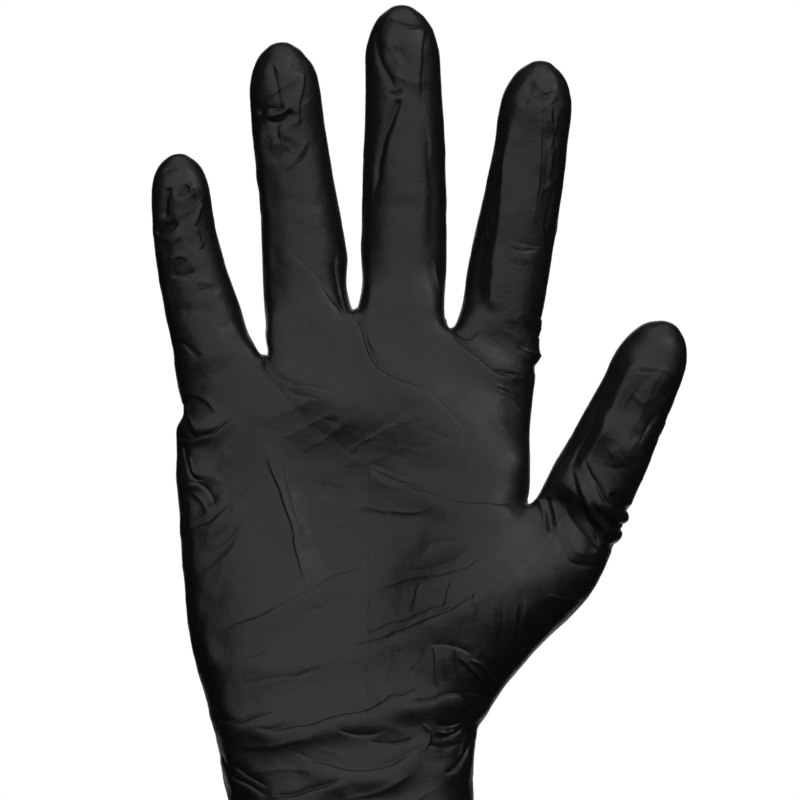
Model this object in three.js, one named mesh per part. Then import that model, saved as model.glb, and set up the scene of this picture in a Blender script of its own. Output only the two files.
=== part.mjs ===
// A disposable nitrile exam glove for the right hand, in the shape that a spread hand gives it.
// It is dipped in one piece: palm, four fingers, thumb and cuff are one film, and the cuff ends in a rolled bead.
// Millimetres. +Z runs to the fingertips, the palm faces -Y, the thumb is towards +X,
// and the origin is the centre of the cuff's mouth, where the hand goes in.
import * as THREE from "three";

// The film
const WALL = 1.2;
const WEB_WALL = 2.6; // between the fingers, where the inner face rounds the webs with larger cells
const BEAD_RADIUS = 1.6;
const BEAD_OVERHANG = 0.7; // from the film's outer face out to the middle of the bead

// Lengths along the hand
const CUFF_LENGTH = 50; // mouth to wrist crease
const PALM_LENGTH = 111.5; // wrist crease to the web between ring and middle finger
const THUMB_WEB_HEIGHT = 62; // wrist crease to the web between thumb and index finger
const THUMB_ROOT_DROP = 8.5; // how much lower the outer end of the thumb's root lies than its web

// Breadths, from the little-finger side to the thumb side
const CUFF_BREADTH = 66;
const WRIST_BREADTH = 62.5;
const PALM_BREADTH = 91.5;
const THUMB_ROOT_BREADTH = 20.5; // how far the thumb's root stands out past the palm
const WEB_WIDTH = 1.7; // between two neighbouring fingers, at the bottom of their gap

// Depths, from the palm's face to the back
const CUFF_DEPTH = 48;
const WRIST_DEPTH = 42;
const PALM_DEPTH = 27;
const THUMB_FORWARD = 8; // how far the thumb's root lies in front of the palm's middle

// Fingers. root is the share of the palm's breadth that each one takes, and the lengths run from root to tip.
// Widths are taken at the root, at the middle joint and at the nail. lean turns a finger towards the little-finger
// side (-) or the thumb side (+) and pitch turns it forwards, each in degrees at the root, the middle and the tip.
const FINGERS = [
  {
    name: "little",
    root: 0.22,
    length: 61.5,
    rootWidth: 20.4,
    jointWidth: 17.4,
    nailWidth: 15.4,
    lean: [-19, -13, 1],
    pitch: [3, 9, 14],
  },
  {
    name: "ring",
    root: 0.25,
    length: 78.5,
    rootWidth: 22.9,
    jointWidth: 19.8,
    nailWidth: 18.6,
    lean: [-2, -8, -5],
    pitch: [2, 8, 12],
  },
  {
    name: "middle",
    root: 0.265,
    length: 83.5,
    rootWidth: 22.4,
    jointWidth: 21.5,
    nailWidth: 19.4,
    lean: [1.5, 0, -3],
    pitch: [2, 6, 9],
  },
  {
    name: "index",
    root: 0.225,
    length: 78,
    rootWidth: 21.6,
    jointWidth: 20.4,
    nailWidth: 18.8,
    lean: [12, 10, 7],
    pitch: [3, 9, 13],
  },
];
const THUMB = {
  name: "thumb",
  length: 61,
  rootWidth: 23,
  jointWidth: 20.4,
  nailWidth: 18.8,
  lean: [31, 24, 27],
  pitch: [8, 10, 12],
};

// How a finger's section runs along its length, as shares of that length and of the widths above.
const FINGER_STATIONS = [
  { along: 0, width: "rootWidth", deep: 0.94 },
  { along: 0.16, width: "rootWidth", deep: 0.92 },
  { along: 0.5, width: "jointWidth", deep: 0.9 },
  { along: 0.8, width: "nailWidth", deep: 0.84 },
  { along: 1, width: "nailWidth", deep: 0.8 },
];
const TIP_LENGTH = 0.78; // share of the nail's width in which a finger rounds off
const TIP_LATITUDES = [13.5, 27, 40, 53]; // degrees, the rings on a fingertip
const TIP_CROWN = 72; // degrees, the last ring before the point of a fingertip
const ROOT_BLEND = 15; // over this length a finger's root turns from the palm's outline to its own round one

// Outlines of cuff and palm, seen from the front. Heights are above the mouth, out is from the hand's axis.
const { clamp, degToRad, lerp, smoothstep } = THREE.MathUtils;
const WRIST = CUFF_LENGTH;
const THUMB_WEB = WRIST + THUMB_WEB_HEIGHT;
const FINGER_WEB = WRIST + PALM_LENGTH;
const THUMB_ROOT = THUMB_WEB - THUMB_ROOT_DROP;
const LITTLE_EDGE = [
  { height: 0, out: 0.5 * CUFF_BREADTH },
  { height: 0.32 * CUFF_LENGTH, out: 0.495 * CUFF_BREADTH },
  { height: 0.68 * CUFF_LENGTH, out: 0.5 * WRIST_BREADTH },
  { height: WRIST, out: 0.545 * WRIST_BREADTH },
  { height: lerp(WRIST, FINGER_WEB, 0.1), out: 0.405 * PALM_BREADTH },
  { height: lerp(WRIST, FINGER_WEB, 0.2), out: 0.438 * PALM_BREADTH },
  { height: lerp(WRIST, FINGER_WEB, 0.56), out: 0.48 * PALM_BREADTH },
  { height: lerp(WRIST, FINGER_WEB, 0.82), out: 0.482 * PALM_BREADTH },
];
const THUMB_EDGE = [
  { height: 0, out: 0.5 * CUFF_BREADTH },
  { height: 0.32 * CUFF_LENGTH, out: 0.495 * CUFF_BREADTH },
  { height: 0.68 * CUFF_LENGTH, out: 0.515 * WRIST_BREADTH },
  { height: WRIST, out: 0.52 * WRIST_BREADTH },
  { height: lerp(WRIST, THUMB_ROOT, 0.2), out: 0.42 * PALM_BREADTH },
  { height: lerp(WRIST, THUMB_ROOT, 0.42), out: 0.523 * PALM_BREADTH },
  { height: lerp(WRIST, THUMB_ROOT, 0.7), out: 0.455 * PALM_BREADTH + THUMB_ROOT_BREADTH },
  { height: lerp(WRIST, THUMB_ROOT, 0.85), out: 0.502 * PALM_BREADTH + THUMB_ROOT_BREADTH },
  { height: THUMB_ROOT, out: 0.535 * PALM_BREADTH + THUMB_ROOT_BREADTH },
];
const INDEX_EDGE = [
  { height: THUMB_WEB, out: 0.54 * PALM_BREADTH },
  { height: lerp(THUMB_WEB, FINGER_WEB, 0.2), out: 0.518 * PALM_BREADTH },
  { height: lerp(THUMB_WEB, FINGER_WEB, 0.42), out: 0.512 * PALM_BREADTH },
  { height: lerp(THUMB_WEB, FINGER_WEB, 0.75), out: 0.53 * PALM_BREADTH },
];

// Depth in front of and behind the hand's axis, before the mounds.
const DEPTHS = [
  { height: 0, palm: 0.5 * CUFF_DEPTH, back: 0.5 * CUFF_DEPTH },
  { height: 0.68 * CUFF_LENGTH, palm: 0.5 * WRIST_DEPTH, back: 0.5 * WRIST_DEPTH },
  { height: WRIST, palm: 0.49 * WRIST_DEPTH, back: 0.46 * WRIST_DEPTH },
  { height: lerp(WRIST, FINGER_WEB, 0.2), palm: 0.62 * PALM_DEPTH, back: 0.56 * PALM_DEPTH },
  { height: lerp(WRIST, FINGER_WEB, 0.45), palm: 0.5 * PALM_DEPTH, back: 0.54 * PALM_DEPTH },
  { height: lerp(WRIST, FINGER_WEB, 0.75), palm: 0.46 * PALM_DEPTH, back: 0.52 * PALM_DEPTH },
  { height: FINGER_WEB, palm: 0.4 * PALM_DEPTH, back: 0.44 * PALM_DEPTH },
];

// Heights of the line along which the fingers leave the palm, from its little-finger end to its index end.
const ROOT_HEIGHTS = [0.82, 0.9, 1.01, 0.965, 0.88].map((share) => lerp(WRIST, FINGER_WEB, share));
const ROOT_BACK_DROP = 6; // how much lower that line runs on the back of the hand
const THUMB_BACK_DROP = 7;
const WEB_ARCH = 1.6; // how far a web rises between palm and back

// Mounds and hollows of the hand under the film. across and up are shares of the palm's breadth and length,
// wide and tall the mound's half sizes in the same shares, and rise a share of the palm's depth.
const MOUNDS = [
  { name: "ball_of_thumb", side: "palm", across: 0.36, up: 0.27, wide: 0.24, tall: 0.26, rise: 0.3 },
  { name: "heel_of_hand", side: "palm", across: -0.3, up: 0.3, wide: 0.17, tall: 0.3, rise: 0.14 },
  { name: "hollow_of_palm", side: "palm", across: 0.02, up: 0.5, wide: 0.17, tall: 0.2, rise: -0.08 },
  { name: "pads_under_fingers", side: "palm", across: 0.02, up: 0.78, wide: 0.42, tall: 0.09, rise: 0.09 },
  { name: "thumb_web_front", side: "palm", across: 0.55, up: 0.58, wide: 0.1, tall: 0.13, rise: -0.24 },
  { name: "thumb_web_back", side: "back", across: 0.55, up: 0.56, wide: 0.13, tall: 0.17, rise: -0.24 },
  { name: "knuckle_little", side: "back", across: -0.35, up: 0.66, wide: 0.09, tall: 0.09, rise: 0.07 },
  { name: "knuckle_ring", side: "back", across: -0.11, up: 0.72, wide: 0.09, tall: 0.09, rise: 0.07 },
  { name: "knuckle_middle", side: "back", across: 0.15, up: 0.75, wide: 0.1, tall: 0.1, rise: 0.09 },
  { name: "knuckle_index", side: "back", across: 0.4, up: 0.71, wide: 0.1, tall: 0.1, rise: 0.08 },
];

// Slack folds of the film that stand up from the palm side, each along an arc. Points are [across, up] in the
// same shares, bow is the arc's rise as a share of its length, and rise and wide are shares of the two sizes here.
const FOLD_RISE = 1.5;
const FOLD_WIDTH = 3.6;
const FOLDS = [
  { name: "wrist", from: [-0.26, 0], to: [0.21, 0.1], bow: -0.03, rise: 1, wide: 1 },
  { name: "wrist_thumb_end", from: [0.13, 0.06], to: [0.34, 0.08], bow: 0.05, rise: 0.8, wide: 0.9 },
  { name: "wrist_little_end", from: [-0.37, 0.03], to: [-0.21, 0.05], bow: -0.12, rise: 0.8, wide: 0.9 },
  { name: "cuff_sag", from: [-0.15, -0.05], to: [0.2, -0.05], bow: -0.14, rise: 1, wide: 1 },
  { name: "cuff_low", from: [-0.22, -0.16], to: [0, -0.11], bow: 0, rise: 0.8, wide: 1 },
  { name: "cuff_thumb_side", from: [0.27, -0.1], to: [0.36, 0.01], bow: -0.1, rise: 0.9, wide: 0.9 },
  { name: "palm_low", from: [-0.34, 0.16], to: [0.44, 0.38], bow: -0.08, rise: 0.7, wide: 1 },
  { name: "palm_little_side", from: [-0.36, 0.23], to: [0.05, 0.39], bow: 0.02, rise: 0.6, wide: 1 },
  { name: "palm_thumb_side", from: [0.06, 0.33], to: [0.42, 0.43], bow: -0.04, rise: 0.6, wide: 1 },
  { name: "palm_upper", from: [0.05, 0.62], to: [0.52, 0.53], bow: -0.06, rise: 0.8, wide: 1 },
  { name: "palm_steep", from: [-0.26, 0.7], to: [-0.13, 0.35], bow: 0.03, rise: 0.6, wide: 0.9 },
  { name: "middle_root", from: [0.03, 0.94], to: [0.26, 0.8], bow: -0.14, rise: 0.9, wide: 1 },
  { name: "ring_root", from: [-0.24, 0.89], to: [-0.03, 0.81], bow: -0.15, rise: 0.8, wide: 0.9 },
  { name: "index_root", from: [0.31, 0.94], to: [0.5, 0.84], bow: -0.14, rise: 0.8, wide: 0.9 },
  { name: "little_edge_upper", from: [-0.5, 0.72], to: [-0.34, 0.73], bow: 0, rise: 1, wide: 1 },
  { name: "little_edge_lower", from: [-0.49, 0.61], to: [-0.4, 0.61], bow: 0, rise: 0.9, wide: 0.9 },
  { name: "little_edge_slope", from: [-0.43, 0.47], to: [-0.32, 0.55], bow: 0, rise: 0.5, wide: 1 },
  { name: "thumb_root_lower", from: [0.56, 0.63], to: [0.74, 0.48], bow: 0.1, rise: 0.9, wide: 1 },
  { name: "thumb_root_upper", from: [0.62, 0.76], to: [0.83, 0.6], bow: 0.12, rise: 0.8, wide: 1 },
];

// Cells of the skin. Each finger has the same number across its front as on each side, so that its tip closes.
const FINGER_CELLS = 4;
const WEB_CELLS = 2;
const CUFF_ROWS = 30; // mouth to thumb web
const PALM_ROWS = 12; // thumb web to finger roots
const FINGER_ROW = 3.8; // length of one row on a finger
const AXIS_STEPS = 12; // steps in which a finger's bent axis is followed
const CORNER = 0.955; // where the palm's front turns into its side, as a share of its half breadth
const FINGER_CORNER = 0.73;
const PALM_SQUARENESS = 2.7; // exponent of the section's outline: 2 is an ellipse
const FINGER_SQUARENESS = 2.15;
const RELAX_ROUNDS = 7;
const WEB_REACH = 15; // how far from the middle of a web the skin is drawn smooth

const FOUR_FINGERS_CELLS = FINGERS.length * FINGER_CELLS + (FINGERS.length - 1) * WEB_CELLS;
const ALL_CELLS = FOUR_FINGERS_CELLS + WEB_CELLS + FINGER_CELLS;

// A smooth curve through one column of a table, read at a height or a share.
function curveOf(rows, key, column) {
  const curve = new THREE.CubicInterpolant(rows.map((row) => row[key]), rows.map((row) => row[column]), 1);
  return (at) => curve.evaluate(clamp(at, rows[0][key], rows.at(-1)[key]))[0];
}

const littleEdge = curveOf(LITTLE_EDGE, "height", "out");
const thumbEdge = curveOf(THUMB_EDGE, "height", "out");
const indexEdge = curveOf(INDEX_EDGE, "height", "out");
const palmDepth = curveOf(DEPTHS, "height", "palm");
const backDepth = curveOf(DEPTHS, "height", "back");

// Depth of a section's outline at u, which runs from -1 to 1 across it, as a share of the full depth.
function outline(u, squareness) {
  return Math.max(0, 1 - Math.abs(u) ** squareness) ** (1 / squareness);
}

// Places of the columns along a width, as shares, when each run of cells has its own share of the width.
function columnsOf(runs) {
  const whole = runs.reduce((sum, run) => sum + run.share, 0);
  const columns = [0];
  for (const { cells, share } of runs) {
    const start = columns.at(-1);
    for (let cell = 1; cell <= cells; cell += 1) columns.push(start + (share / whole) * (cell / cells));
  }
  return columns;
}

function mixColumns(a, b, share) {
  return a.map((place, column) => lerp(place, b[column], share));
}

const evenColumns = (cells) => columnsOf([{ cells, share: 1 }]);
const rootColumns = columnsOf(
  FINGERS.flatMap((finger, i) => [
    ...(i ? [{ cells: WEB_CELLS, share: WEB_WIDTH / PALM_BREADTH }] : []),
    { cells: FINGER_CELLS, share: finger.root },
  ]),
);
const splitColumns = columnsOf([
  { cells: FOUR_FINGERS_CELLS, share: PALM_BREADTH },
  { cells: WEB_CELLS, share: WEB_WIDTH },
  { cells: FINGER_CELLS, share: THUMB_ROOT_BREADTH },
]);

// How far the mounds of one side lift the film at a place on the hand.
function moundRise(side, x, z) {
  let rise = 0;
  for (const mound of MOUNDS) {
    if (mound.side !== side) continue;
    const across = (x / PALM_BREADTH - mound.across) / mound.wide;
    const up = ((z - WRIST) / PALM_LENGTH - mound.up) / mound.tall;
    rise += mound.rise * PALM_DEPTH * Math.exp(-across * across - up * up);
  }
  return rise;
}

// A point on the hand's front (-1) or back (+1) at x, z, where u is its place across the section.
function handPoint(x, z, u, face, forward) {
  const depth = face < 0 ? palmDepth(z) : backDepth(z);
  const shape = outline(u, PALM_SQUARENESS);
  const mound = moundRise(face < 0 ? "palm" : "back", x, z) * shape;
  return new THREE.Vector3(x, face * (depth * shape + mound) - forward, z);
}

// Points between a front and a back corner, going round the side of the hand, bulging out by the given vector.
function sidePoints(front, back, bulge) {
  const points = [];
  for (let cell = 1; cell < FINGER_CELLS; cell += 1) {
    const share = cell / FINGER_CELLS;
    const out = outline(2 * share - 1, 2);
    points.push(front.clone().lerp(back, share).addScaledVector(bulge, out));
  }
  return points;
}

// One row of a section: points across the front and across the back, both from the little-finger side.
// part is how much of the section's outline, thumb included, this row takes up.
function handRow({ columns, little, thumb, frontHeight, backHeight, forward, part = 1 }) {
  const at = (share, face) => {
    const across = (1 + CORNER * (2 * share - 1)) / 2;
    const u = CORNER * (2 * share * part - 1);
    const z = (face < 0 ? frontHeight : backHeight)(share);
    return handPoint(lerp(-little, thumb, across), z, u, face, forward(share * part));
  };
  const front = columns.map((share) => at(share, -1));
  const back = columns.map((share) => at(share, 1));
  const overhang = ((1 - CORNER) / 2) * (little + thumb);
  return {
    front,
    back,
    littleSide: sidePoints(front[0], back[0], new THREE.Vector3(-overhang, 0, 0)),
    thumbSide: sidePoints(front.at(-1), back.at(-1), new THREE.Vector3(overhang, 0, 0)),
  };
}

// A closed ring, anticlockwise seen from the fingertips, whose first point comes again at its end.
function ringOf({ front, back, littleSide, thumbSide }) {
  return [...front, ...thumbSide, ...back.toReversed(), ...littleSide.toReversed(), front[0]];
}

// The row on which the thumb parts from the palm, and the one on which the fingers do.
const palmShare = splitColumns[FOUR_FINGERS_CELLS];
const thumbRootFall = (share) => THUMB_ROOT_DROP * Math.max(0, (share - palmShare) / (1 - palmShare));
const rootHeight = (share) => {
  const corners = FINGERS.map((_, i) => rootColumns[i * (FINGER_CELLS + WEB_CELLS)]).concat(1);
  const rows = corners.map((place, i) => ({ place, height: ROOT_HEIGHTS[i] }));
  const after = clamp(rows.findIndex((row) => row.place >= share), 1, rows.length - 1);
  const [low, high] = [rows[after - 1], rows[after]];
  return lerp(low.height, high.height, (share - low.place) / (high.place - low.place));
};

function cuffRow(row) {
  const share = row / CUFF_ROWS;
  const bottom = 2 * BEAD_RADIUS;
  const height = (drop) => (place) =>
    lerp(bottom, THUMB_WEB - thumbRootFall(place) - drop, share);
  const near = smoothstep(share, 0.45, 1);
  const backDrop = (place) => THUMB_BACK_DROP * near * smoothstep(place, 0.5, palmShare);
  return handRow({
    columns: mixColumns(evenColumns(ALL_CELLS), splitColumns, near),
    little: littleEdge(height(0)(0)),
    thumb: thumbEdge(height(backDrop(1) / 2)(1)),
    frontHeight: height(0),
    backHeight: (place) => height(backDrop(place))(place),
    forward: (place) => THUMB_FORWARD * near * smoothstep(place, 0.5, 0.95),
  });
}

function palmRow(row, splitRow) {
  const share = row / PALM_ROWS;
  const near = smoothstep(share, 0.3, 1);
  const columns = mixColumns(evenColumns(FOUR_FINGERS_CELLS), rootColumns, near);
  const height = (start, drop) => (place) => {
    const column = place * FOUR_FINGERS_CELLS;
    const low = Math.min(Math.floor(column), FOUR_FINGERS_CELLS - 1);
    return lerp(lerp(start[low].z, start[low + 1].z, column - low), rootHeight(place) - drop, share);
  };
  const frontHeight = height(splitRow.front, 0);
  return handRow({
    columns,
    little: littleEdge(frontHeight(0)),
    thumb: indexEdge(frontHeight(1)),
    frontHeight,
    backHeight: height(splitRow.back, ROOT_BACK_DROP),
    forward: (place) => THUMB_FORWARD * (1 - smoothstep(share, 0, 0.8)) * smoothstep(place, 0.5, 0.95),
    part: lerp(palmShare, 1, smoothstep(share, 0, 0.6)),
  });
}

// Part of a row, from one column to another, with new sides towards its neighbours' webs.
function cutRow(row, from, to, littleSide, thumbSide) {
  return {
    front: row.front.slice(from, to + 1),
    back: row.back.slice(from, to + 1),
    littleSide: littleSide ?? row.littleSide,
    thumbSide: thumbSide ?? row.thumbSide,
  };
}

// The strip between two neighbours, from the palm's face over the web to the back.
function webOf(row, from) {
  const columns = [];
  for (let column = from; column <= from + WEB_CELLS; column += 1) {
    const [front, back] = [row.front[column], row.back[column]];
    columns.push([front, ...sidePoints(front, back, new THREE.Vector3(0, 0, WEB_ARCH)), back]);
  }
  return columns[0].map((_, depth) => columns.map((column) => column[depth]));
}

const webSide = (web, column) => web.slice(1, -1).map((points) => points[column]);

// An angle in radians at a share of a finger's length, from its degrees at root, middle and tip.
function angleAt([root, middle, tip], along) {
  return degToRad(along < 0.5 ? lerp(root, middle, 2 * along) : lerp(middle, tip, 2 * along - 1));
}

function headingAt(finger, along) {
  const [lean, pitch] = [angleAt(finger.lean, along), angleAt(finger.pitch, along)];
  return new THREE.Vector3(Math.sin(lean) * Math.cos(pitch), -Math.sin(pitch), Math.cos(lean) * Math.cos(pitch));
}

// The frame of a finger at a share of its length: x across it, y out of its back, z along it.
function fingerFrame(finger, root, along, past = 0) {
  const middle = root.clone();
  for (let step = 0; step < AXIS_STEPS; step += 1) {
    const heading = headingAt(finger, (along * (step + 0.5)) / AXIS_STEPS);
    middle.addScaledVector(heading, (finger.length * along) / AXIS_STEPS);
  }
  const axis = headingAt(finger, along);
  const lean = angleAt(finger.lean, along);
  const across = new THREE.Vector3(Math.cos(lean), 0, -Math.sin(lean));
  middle.addScaledVector(axis, past);
  return new THREE.Matrix4().makeBasis(across, axis.clone().cross(across), axis).setPosition(middle);
}

// One ring of a finger, 16 points in the order of ringOf, on an outline of the given half width and half depth.
function fingerRing(frame, halfWidth, halfDepth) {
  const corner = outline(FINGER_CORNER, FINGER_SQUARENESS);
  const ring = [];
  const place = (x, y) => ring.push(new THREE.Vector3(x * halfWidth, y * halfDepth, 0).applyMatrix4(frame));
  const steps = Array.from({ length: FINGER_CELLS }, (_, cell) => (2 * cell) / FINGER_CELLS - 1);
  for (const step of steps) place(step * FINGER_CORNER, -outline(step * FINGER_CORNER, FINGER_SQUARENESS));
  for (const step of steps) place(outline(step * corner, FINGER_SQUARENESS), step * corner);
  for (const step of steps) place(-step * FINGER_CORNER, outline(step * FINGER_CORNER, FINGER_SQUARENESS));
  for (const step of steps) place(-outline(step * corner, FINGER_SQUARENESS), -step * corner);
  return [...ring, ring[0]];
}

// The grid that closes a fingertip: its edge is the last ring, inside it a ring of eight and the point.
function tipCap(ring, crown, point) {
  const grid = Array.from({ length: FINGER_CELLS + 1 }, () => Array(FINGER_CELLS + 1).fill(point));
  const places = [];
  for (let cell = 0; cell < FINGER_CELLS; cell += 1) places.push([0, cell]);
  for (let cell = 0; cell < FINGER_CELLS; cell += 1) places.push([cell, FINGER_CELLS]);
  for (let cell = FINGER_CELLS; cell > 0; cell -= 1) places.push([FINGER_CELLS, cell]);
  for (let cell = FINGER_CELLS; cell > 0; cell -= 1) places.push([cell, 0]);
  const half = FINGER_CELLS / 2;
  places.forEach(([row, column], i) => {
    grid[row][column] = ring[i];
    if (i % 2 === 0) grid[(row + half) / 2][(column + half) / 2] = crown[i];
  });
  return grid;
}

// A finger's skin: rings from its root's outline to its round tip, and the cap.
function fingerGrids(finger, rootRow) {
  const rootRing = ringOf(rootRow);
  const root = rootRing.slice(1).reduce((sum, p) => sum.add(p), new THREE.Vector3()).divideScalar(rootRing.length - 1);
  const stations = FINGER_STATIONS.map(({ along, width, deep }) => ({ along, width: finger[width], deep }));
  const width = curveOf(stations, "along", "width");
  const deep = curveOf(stations, "along", "deep");
  const tip = TIP_LENGTH * finger.nailWidth;
  const body = 1 - tip / finger.length;
  const rows = 2 * Math.round((finger.length * body) / FINGER_ROW / 2);
  const rootFrame = new THREE.Matrix4().copy(fingerFrame(finger, root, 0)).invert();
  const grid = [rootRing];
  for (let row = 1; row <= rows; row += 1) {
    const along = (body * row) / rows;
    const frame = fingerFrame(finger, root, along);
    const half = width(along) / 2;
    const round = fingerRing(frame, half, half * deep(along));
    const own = smoothstep(finger.length * along, 0, ROOT_BLEND);
    const carry = new THREE.Matrix4().multiplyMatrices(frame, rootFrame);
    const ring = round.slice(1).map((point, i) => rootRing[i + 1].clone().applyMatrix4(carry).lerp(point, own));
    grid.push([ring.at(-1), ...ring]);
  }
  const tipRing = (latitude) => {
    const angle = degToRad(latitude);
    const frame = fingerFrame(finger, root, body, tip * Math.sin(angle));
    const half = (width(body) / 2) * Math.cos(angle);
    return fingerRing(frame, half, half * deep(body));
  };
  grid.push(...TIP_LATITUDES.map(tipRing));
  return [grid, tipCap(grid.at(-1), tipRing(TIP_CROWN), tipRing(90)[0])];
}

// The whole skin as grids of points. Neighbouring grids hold the very same points where they meet.
function skinGrids() {
  const cuffRows = Array.from({ length: CUFF_ROWS + 1 }, (_, row) => cuffRow(row));
  const split = cuffRows.at(-1);
  const thumbWeb = webOf(split, FOUR_FINGERS_CELLS);
  const palmBase = cutRow(split, 0, FOUR_FINGERS_CELLS, null, webSide(thumbWeb, 0));
  const thumbBase = cutRow(split, FOUR_FINGERS_CELLS + WEB_CELLS, ALL_CELLS, webSide(thumbWeb, WEB_CELLS), null);
  const palmRows = [palmBase];
  for (let row = 1; row <= PALM_ROWS; row += 1) palmRows.push(palmRow(row, palmBase));
  const roots = palmRows.at(-1);
  const webs = FINGERS.slice(1).map((_, i) => webOf(roots, FINGER_CELLS + i * (FINGER_CELLS + WEB_CELLS)));
  const fingers = FINGERS.flatMap((finger, i) => {
    const from = i * (FINGER_CELLS + WEB_CELLS);
    const littleSide = i ? webSide(webs[i - 1], WEB_CELLS) : null;
    const thumbSide = webs[i] ? webSide(webs[i], 0) : null;
    return fingerGrids(finger, cutRow(roots, from, from + FINGER_CELLS, littleSide, thumbSide));
  });
  const grids = [
    cuffRows.map(ringOf),
    palmRows.map(ringOf),
    thumbWeb,
    ...webs,
    ...fingers,
    ...fingerGrids(THUMB, thumbBase),
  ];
  return { grids, webs: [thumbWeb, ...webs] };
}

// The four-sided cells of the grids, taking every row and column, or every second one.
function cellsOf(grids, step) {
  const cells = [];
  for (const grid of grids) {
    for (let row = 0; row + step < grid.length; row += step) {
      for (let column = 0; column + step < grid[row].length; column += step) {
        const [low, high] = [grid[row], grid[row + step]];
        cells.push([low[column], low[column + step], high[column + step], high[column]]);
      }
    }
  }
  return cells;
}

// A measure of how near a point is to a web: 1 at its middle, 0 from WEB_REACH on.
function nearnessTo(webs) {
  const centres = webs.map((web) => web[FINGER_CELLS / 2][WEB_CELLS / 2].clone());
  return (point) => {
    const away = Math.min(...centres.map((centre) => centre.distanceTo(point)));
    return 1 - smoothstep(away, 0.4 * WEB_REACH, WEB_REACH);
  };
}

// Draws the skin smooth around the webs, where palm and fingers meet at an angle.
function relax(cells, nearness) {
  const neighbours = new Map();
  const join = (a, b) => neighbours.set(a, (neighbours.get(a) ?? new Set()).add(b));
  for (const cell of cells) {
    cell.forEach((point, i) => {
      join(point, cell[(i + 1) % cell.length]);
      join(cell[(i + 1) % cell.length], point);
    });
  }
  for (let round = 0; round < RELAX_ROUNDS; round += 1) {
    const moves = [];
    for (const [point, around] of neighbours) {
      const weight = 0.6 * nearness(point);
      if (weight === 0) continue;
      const mean = new THREE.Vector3();
      for (const other of around) mean.add(other);
      moves.push([point, mean.divideScalar(around.size), weight]);
    }
    for (const [point, mean, weight] of moves) point.lerp(mean, weight);
  }
}

function normalsOf(cells) {
  const normals = new Map();
  for (const [a, b, c, d] of cells) {
    const area = c.clone().sub(a).cross(d.clone().sub(b));
    for (const point of [a, b, c, d]) {
      if (!normals.has(point)) normals.set(point, new THREE.Vector3());
      normals.get(point).add(area);
    }
  }
  for (const normal of normals.values()) normal.normalize();
  return normals;
}

// How far the folds lift the film at a point.
function foldLift(point, normal) {
  const facing = smoothstep(-normal.y, -0.2, 0.5);
  if (facing === 0) return 0;
  const at = new THREE.Vector2(point.x, point.z);
  const place = ([across, up]) => new THREE.Vector2(across * PALM_BREADTH, WRIST + up * PALM_LENGTH);
  let lift = 0;
  for (const fold of FOLDS) {
    const [from, to] = [place(fold.from), place(fold.to)];
    const run = to.clone().sub(from);
    const length = run.length();
    const offset = at.clone().sub(from);
    const share = offset.dot(run) / (length * length);
    if (share <= 0 || share >= 1) continue;
    const arc = 4 * share * (1 - share);
    const away = offset.cross(run) / length + fold.bow * length * arc;
    const half = fold.wide * FOLD_WIDTH;
    lift += FOLD_RISE * fold.rise * Math.sqrt(arc) * Math.exp(-((away / half) ** 2));
  }
  return lift * facing;
}

// Triangles of a four-sided cell, cut along the diagonal that bends it less.
function trianglesOf([a, b, c, d]) {
  const cuts = [
    [[a, b, c], [a, c, d]],
    [[a, b, d], [b, c, d]],
  ];
  const flatness = cuts.map((pair) => {
    const [one, other] = pair.map((corners) => new THREE.Triangle(...corners).getNormal(new THREE.Vector3()));
    return one.dot(other);
  });
  return flatness[0] >= flatness[1] ? cuts[0] : cuts[1];
}

// The rolled bead: rings from the film's outer face round the bottom of the roll to its inner face.
function beadRings(mouthRing) {
  const degrees = [35, 0, -45, -90, -135];
  return degrees.map((degree) => {
    const angle = degToRad(degree);
    const out = BEAD_OVERHANG - WALL / 2 + BEAD_RADIUS * Math.cos(angle);
    const up = BEAD_RADIUS * (Math.sin(angle) - 1);
    return mouthRing.map(({ point, outward }) => {
      const moved = point.clone().addScaledVector(outward, out);
      moved.z = point.z + up;
      return moved;
    });
  });
}

function gloveGeometry() {
  const { grids, webs } = skinGrids();
  const cells = cellsOf(grids, 1);
  const nearness = nearnessTo(webs);
  relax(cells, nearness);
  const normals = normalsOf(cells);

  // The inner face lies one wall inside, and needs only every second row and column.
  const inner = new Map();
  const insideOf = (point) => {
    if (!inner.has(point)) {
      const wall = lerp(WALL, WEB_WALL, nearness(point));
      inner.set(point, point.clone().addScaledVector(normals.get(point), -wall));
    }
    return inner.get(point);
  };
  const innerCells = cellsOf(grids, 2).map((cell) => cell.map(insideOf).reverse());

  const mouth = grids[0][0];
  const mouthRing = mouth.map((point) => {
    const outward = normals.get(point).clone().setZ(0).normalize();
    return { point: point.clone(), outward };
  });
  for (const [point, normal] of normals) point.addScaledVector(normal, foldLift(point, normal));

  const rings = [mouth, ...beadRings(mouthRing)];
  const beadCells = cellsOf([rings.map((ring) => ring.slice(0, -1)).map((ring) => [...ring, ring[0]]).reverse()], 1);
  const triangles = [...cells, ...innerCells, ...beadCells].flatMap(trianglesOf);
  const last = [...rings.at(-1).slice(0, -1), rings.at(-1)[0]];
  for (let column = 0; column + 2 < mouth.length + 1; column += 2) {
    const [a, b] = [insideOf(mouth[column]), insideOf(mouth[column + 2])];
    const [p, q, r] = [last[column], last[column + 1], last[column + 2]];
    triangles.push([p, a, q], [a, b, q], [q, b, r]);
  }
  return geometryOf(triangles);
}

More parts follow.
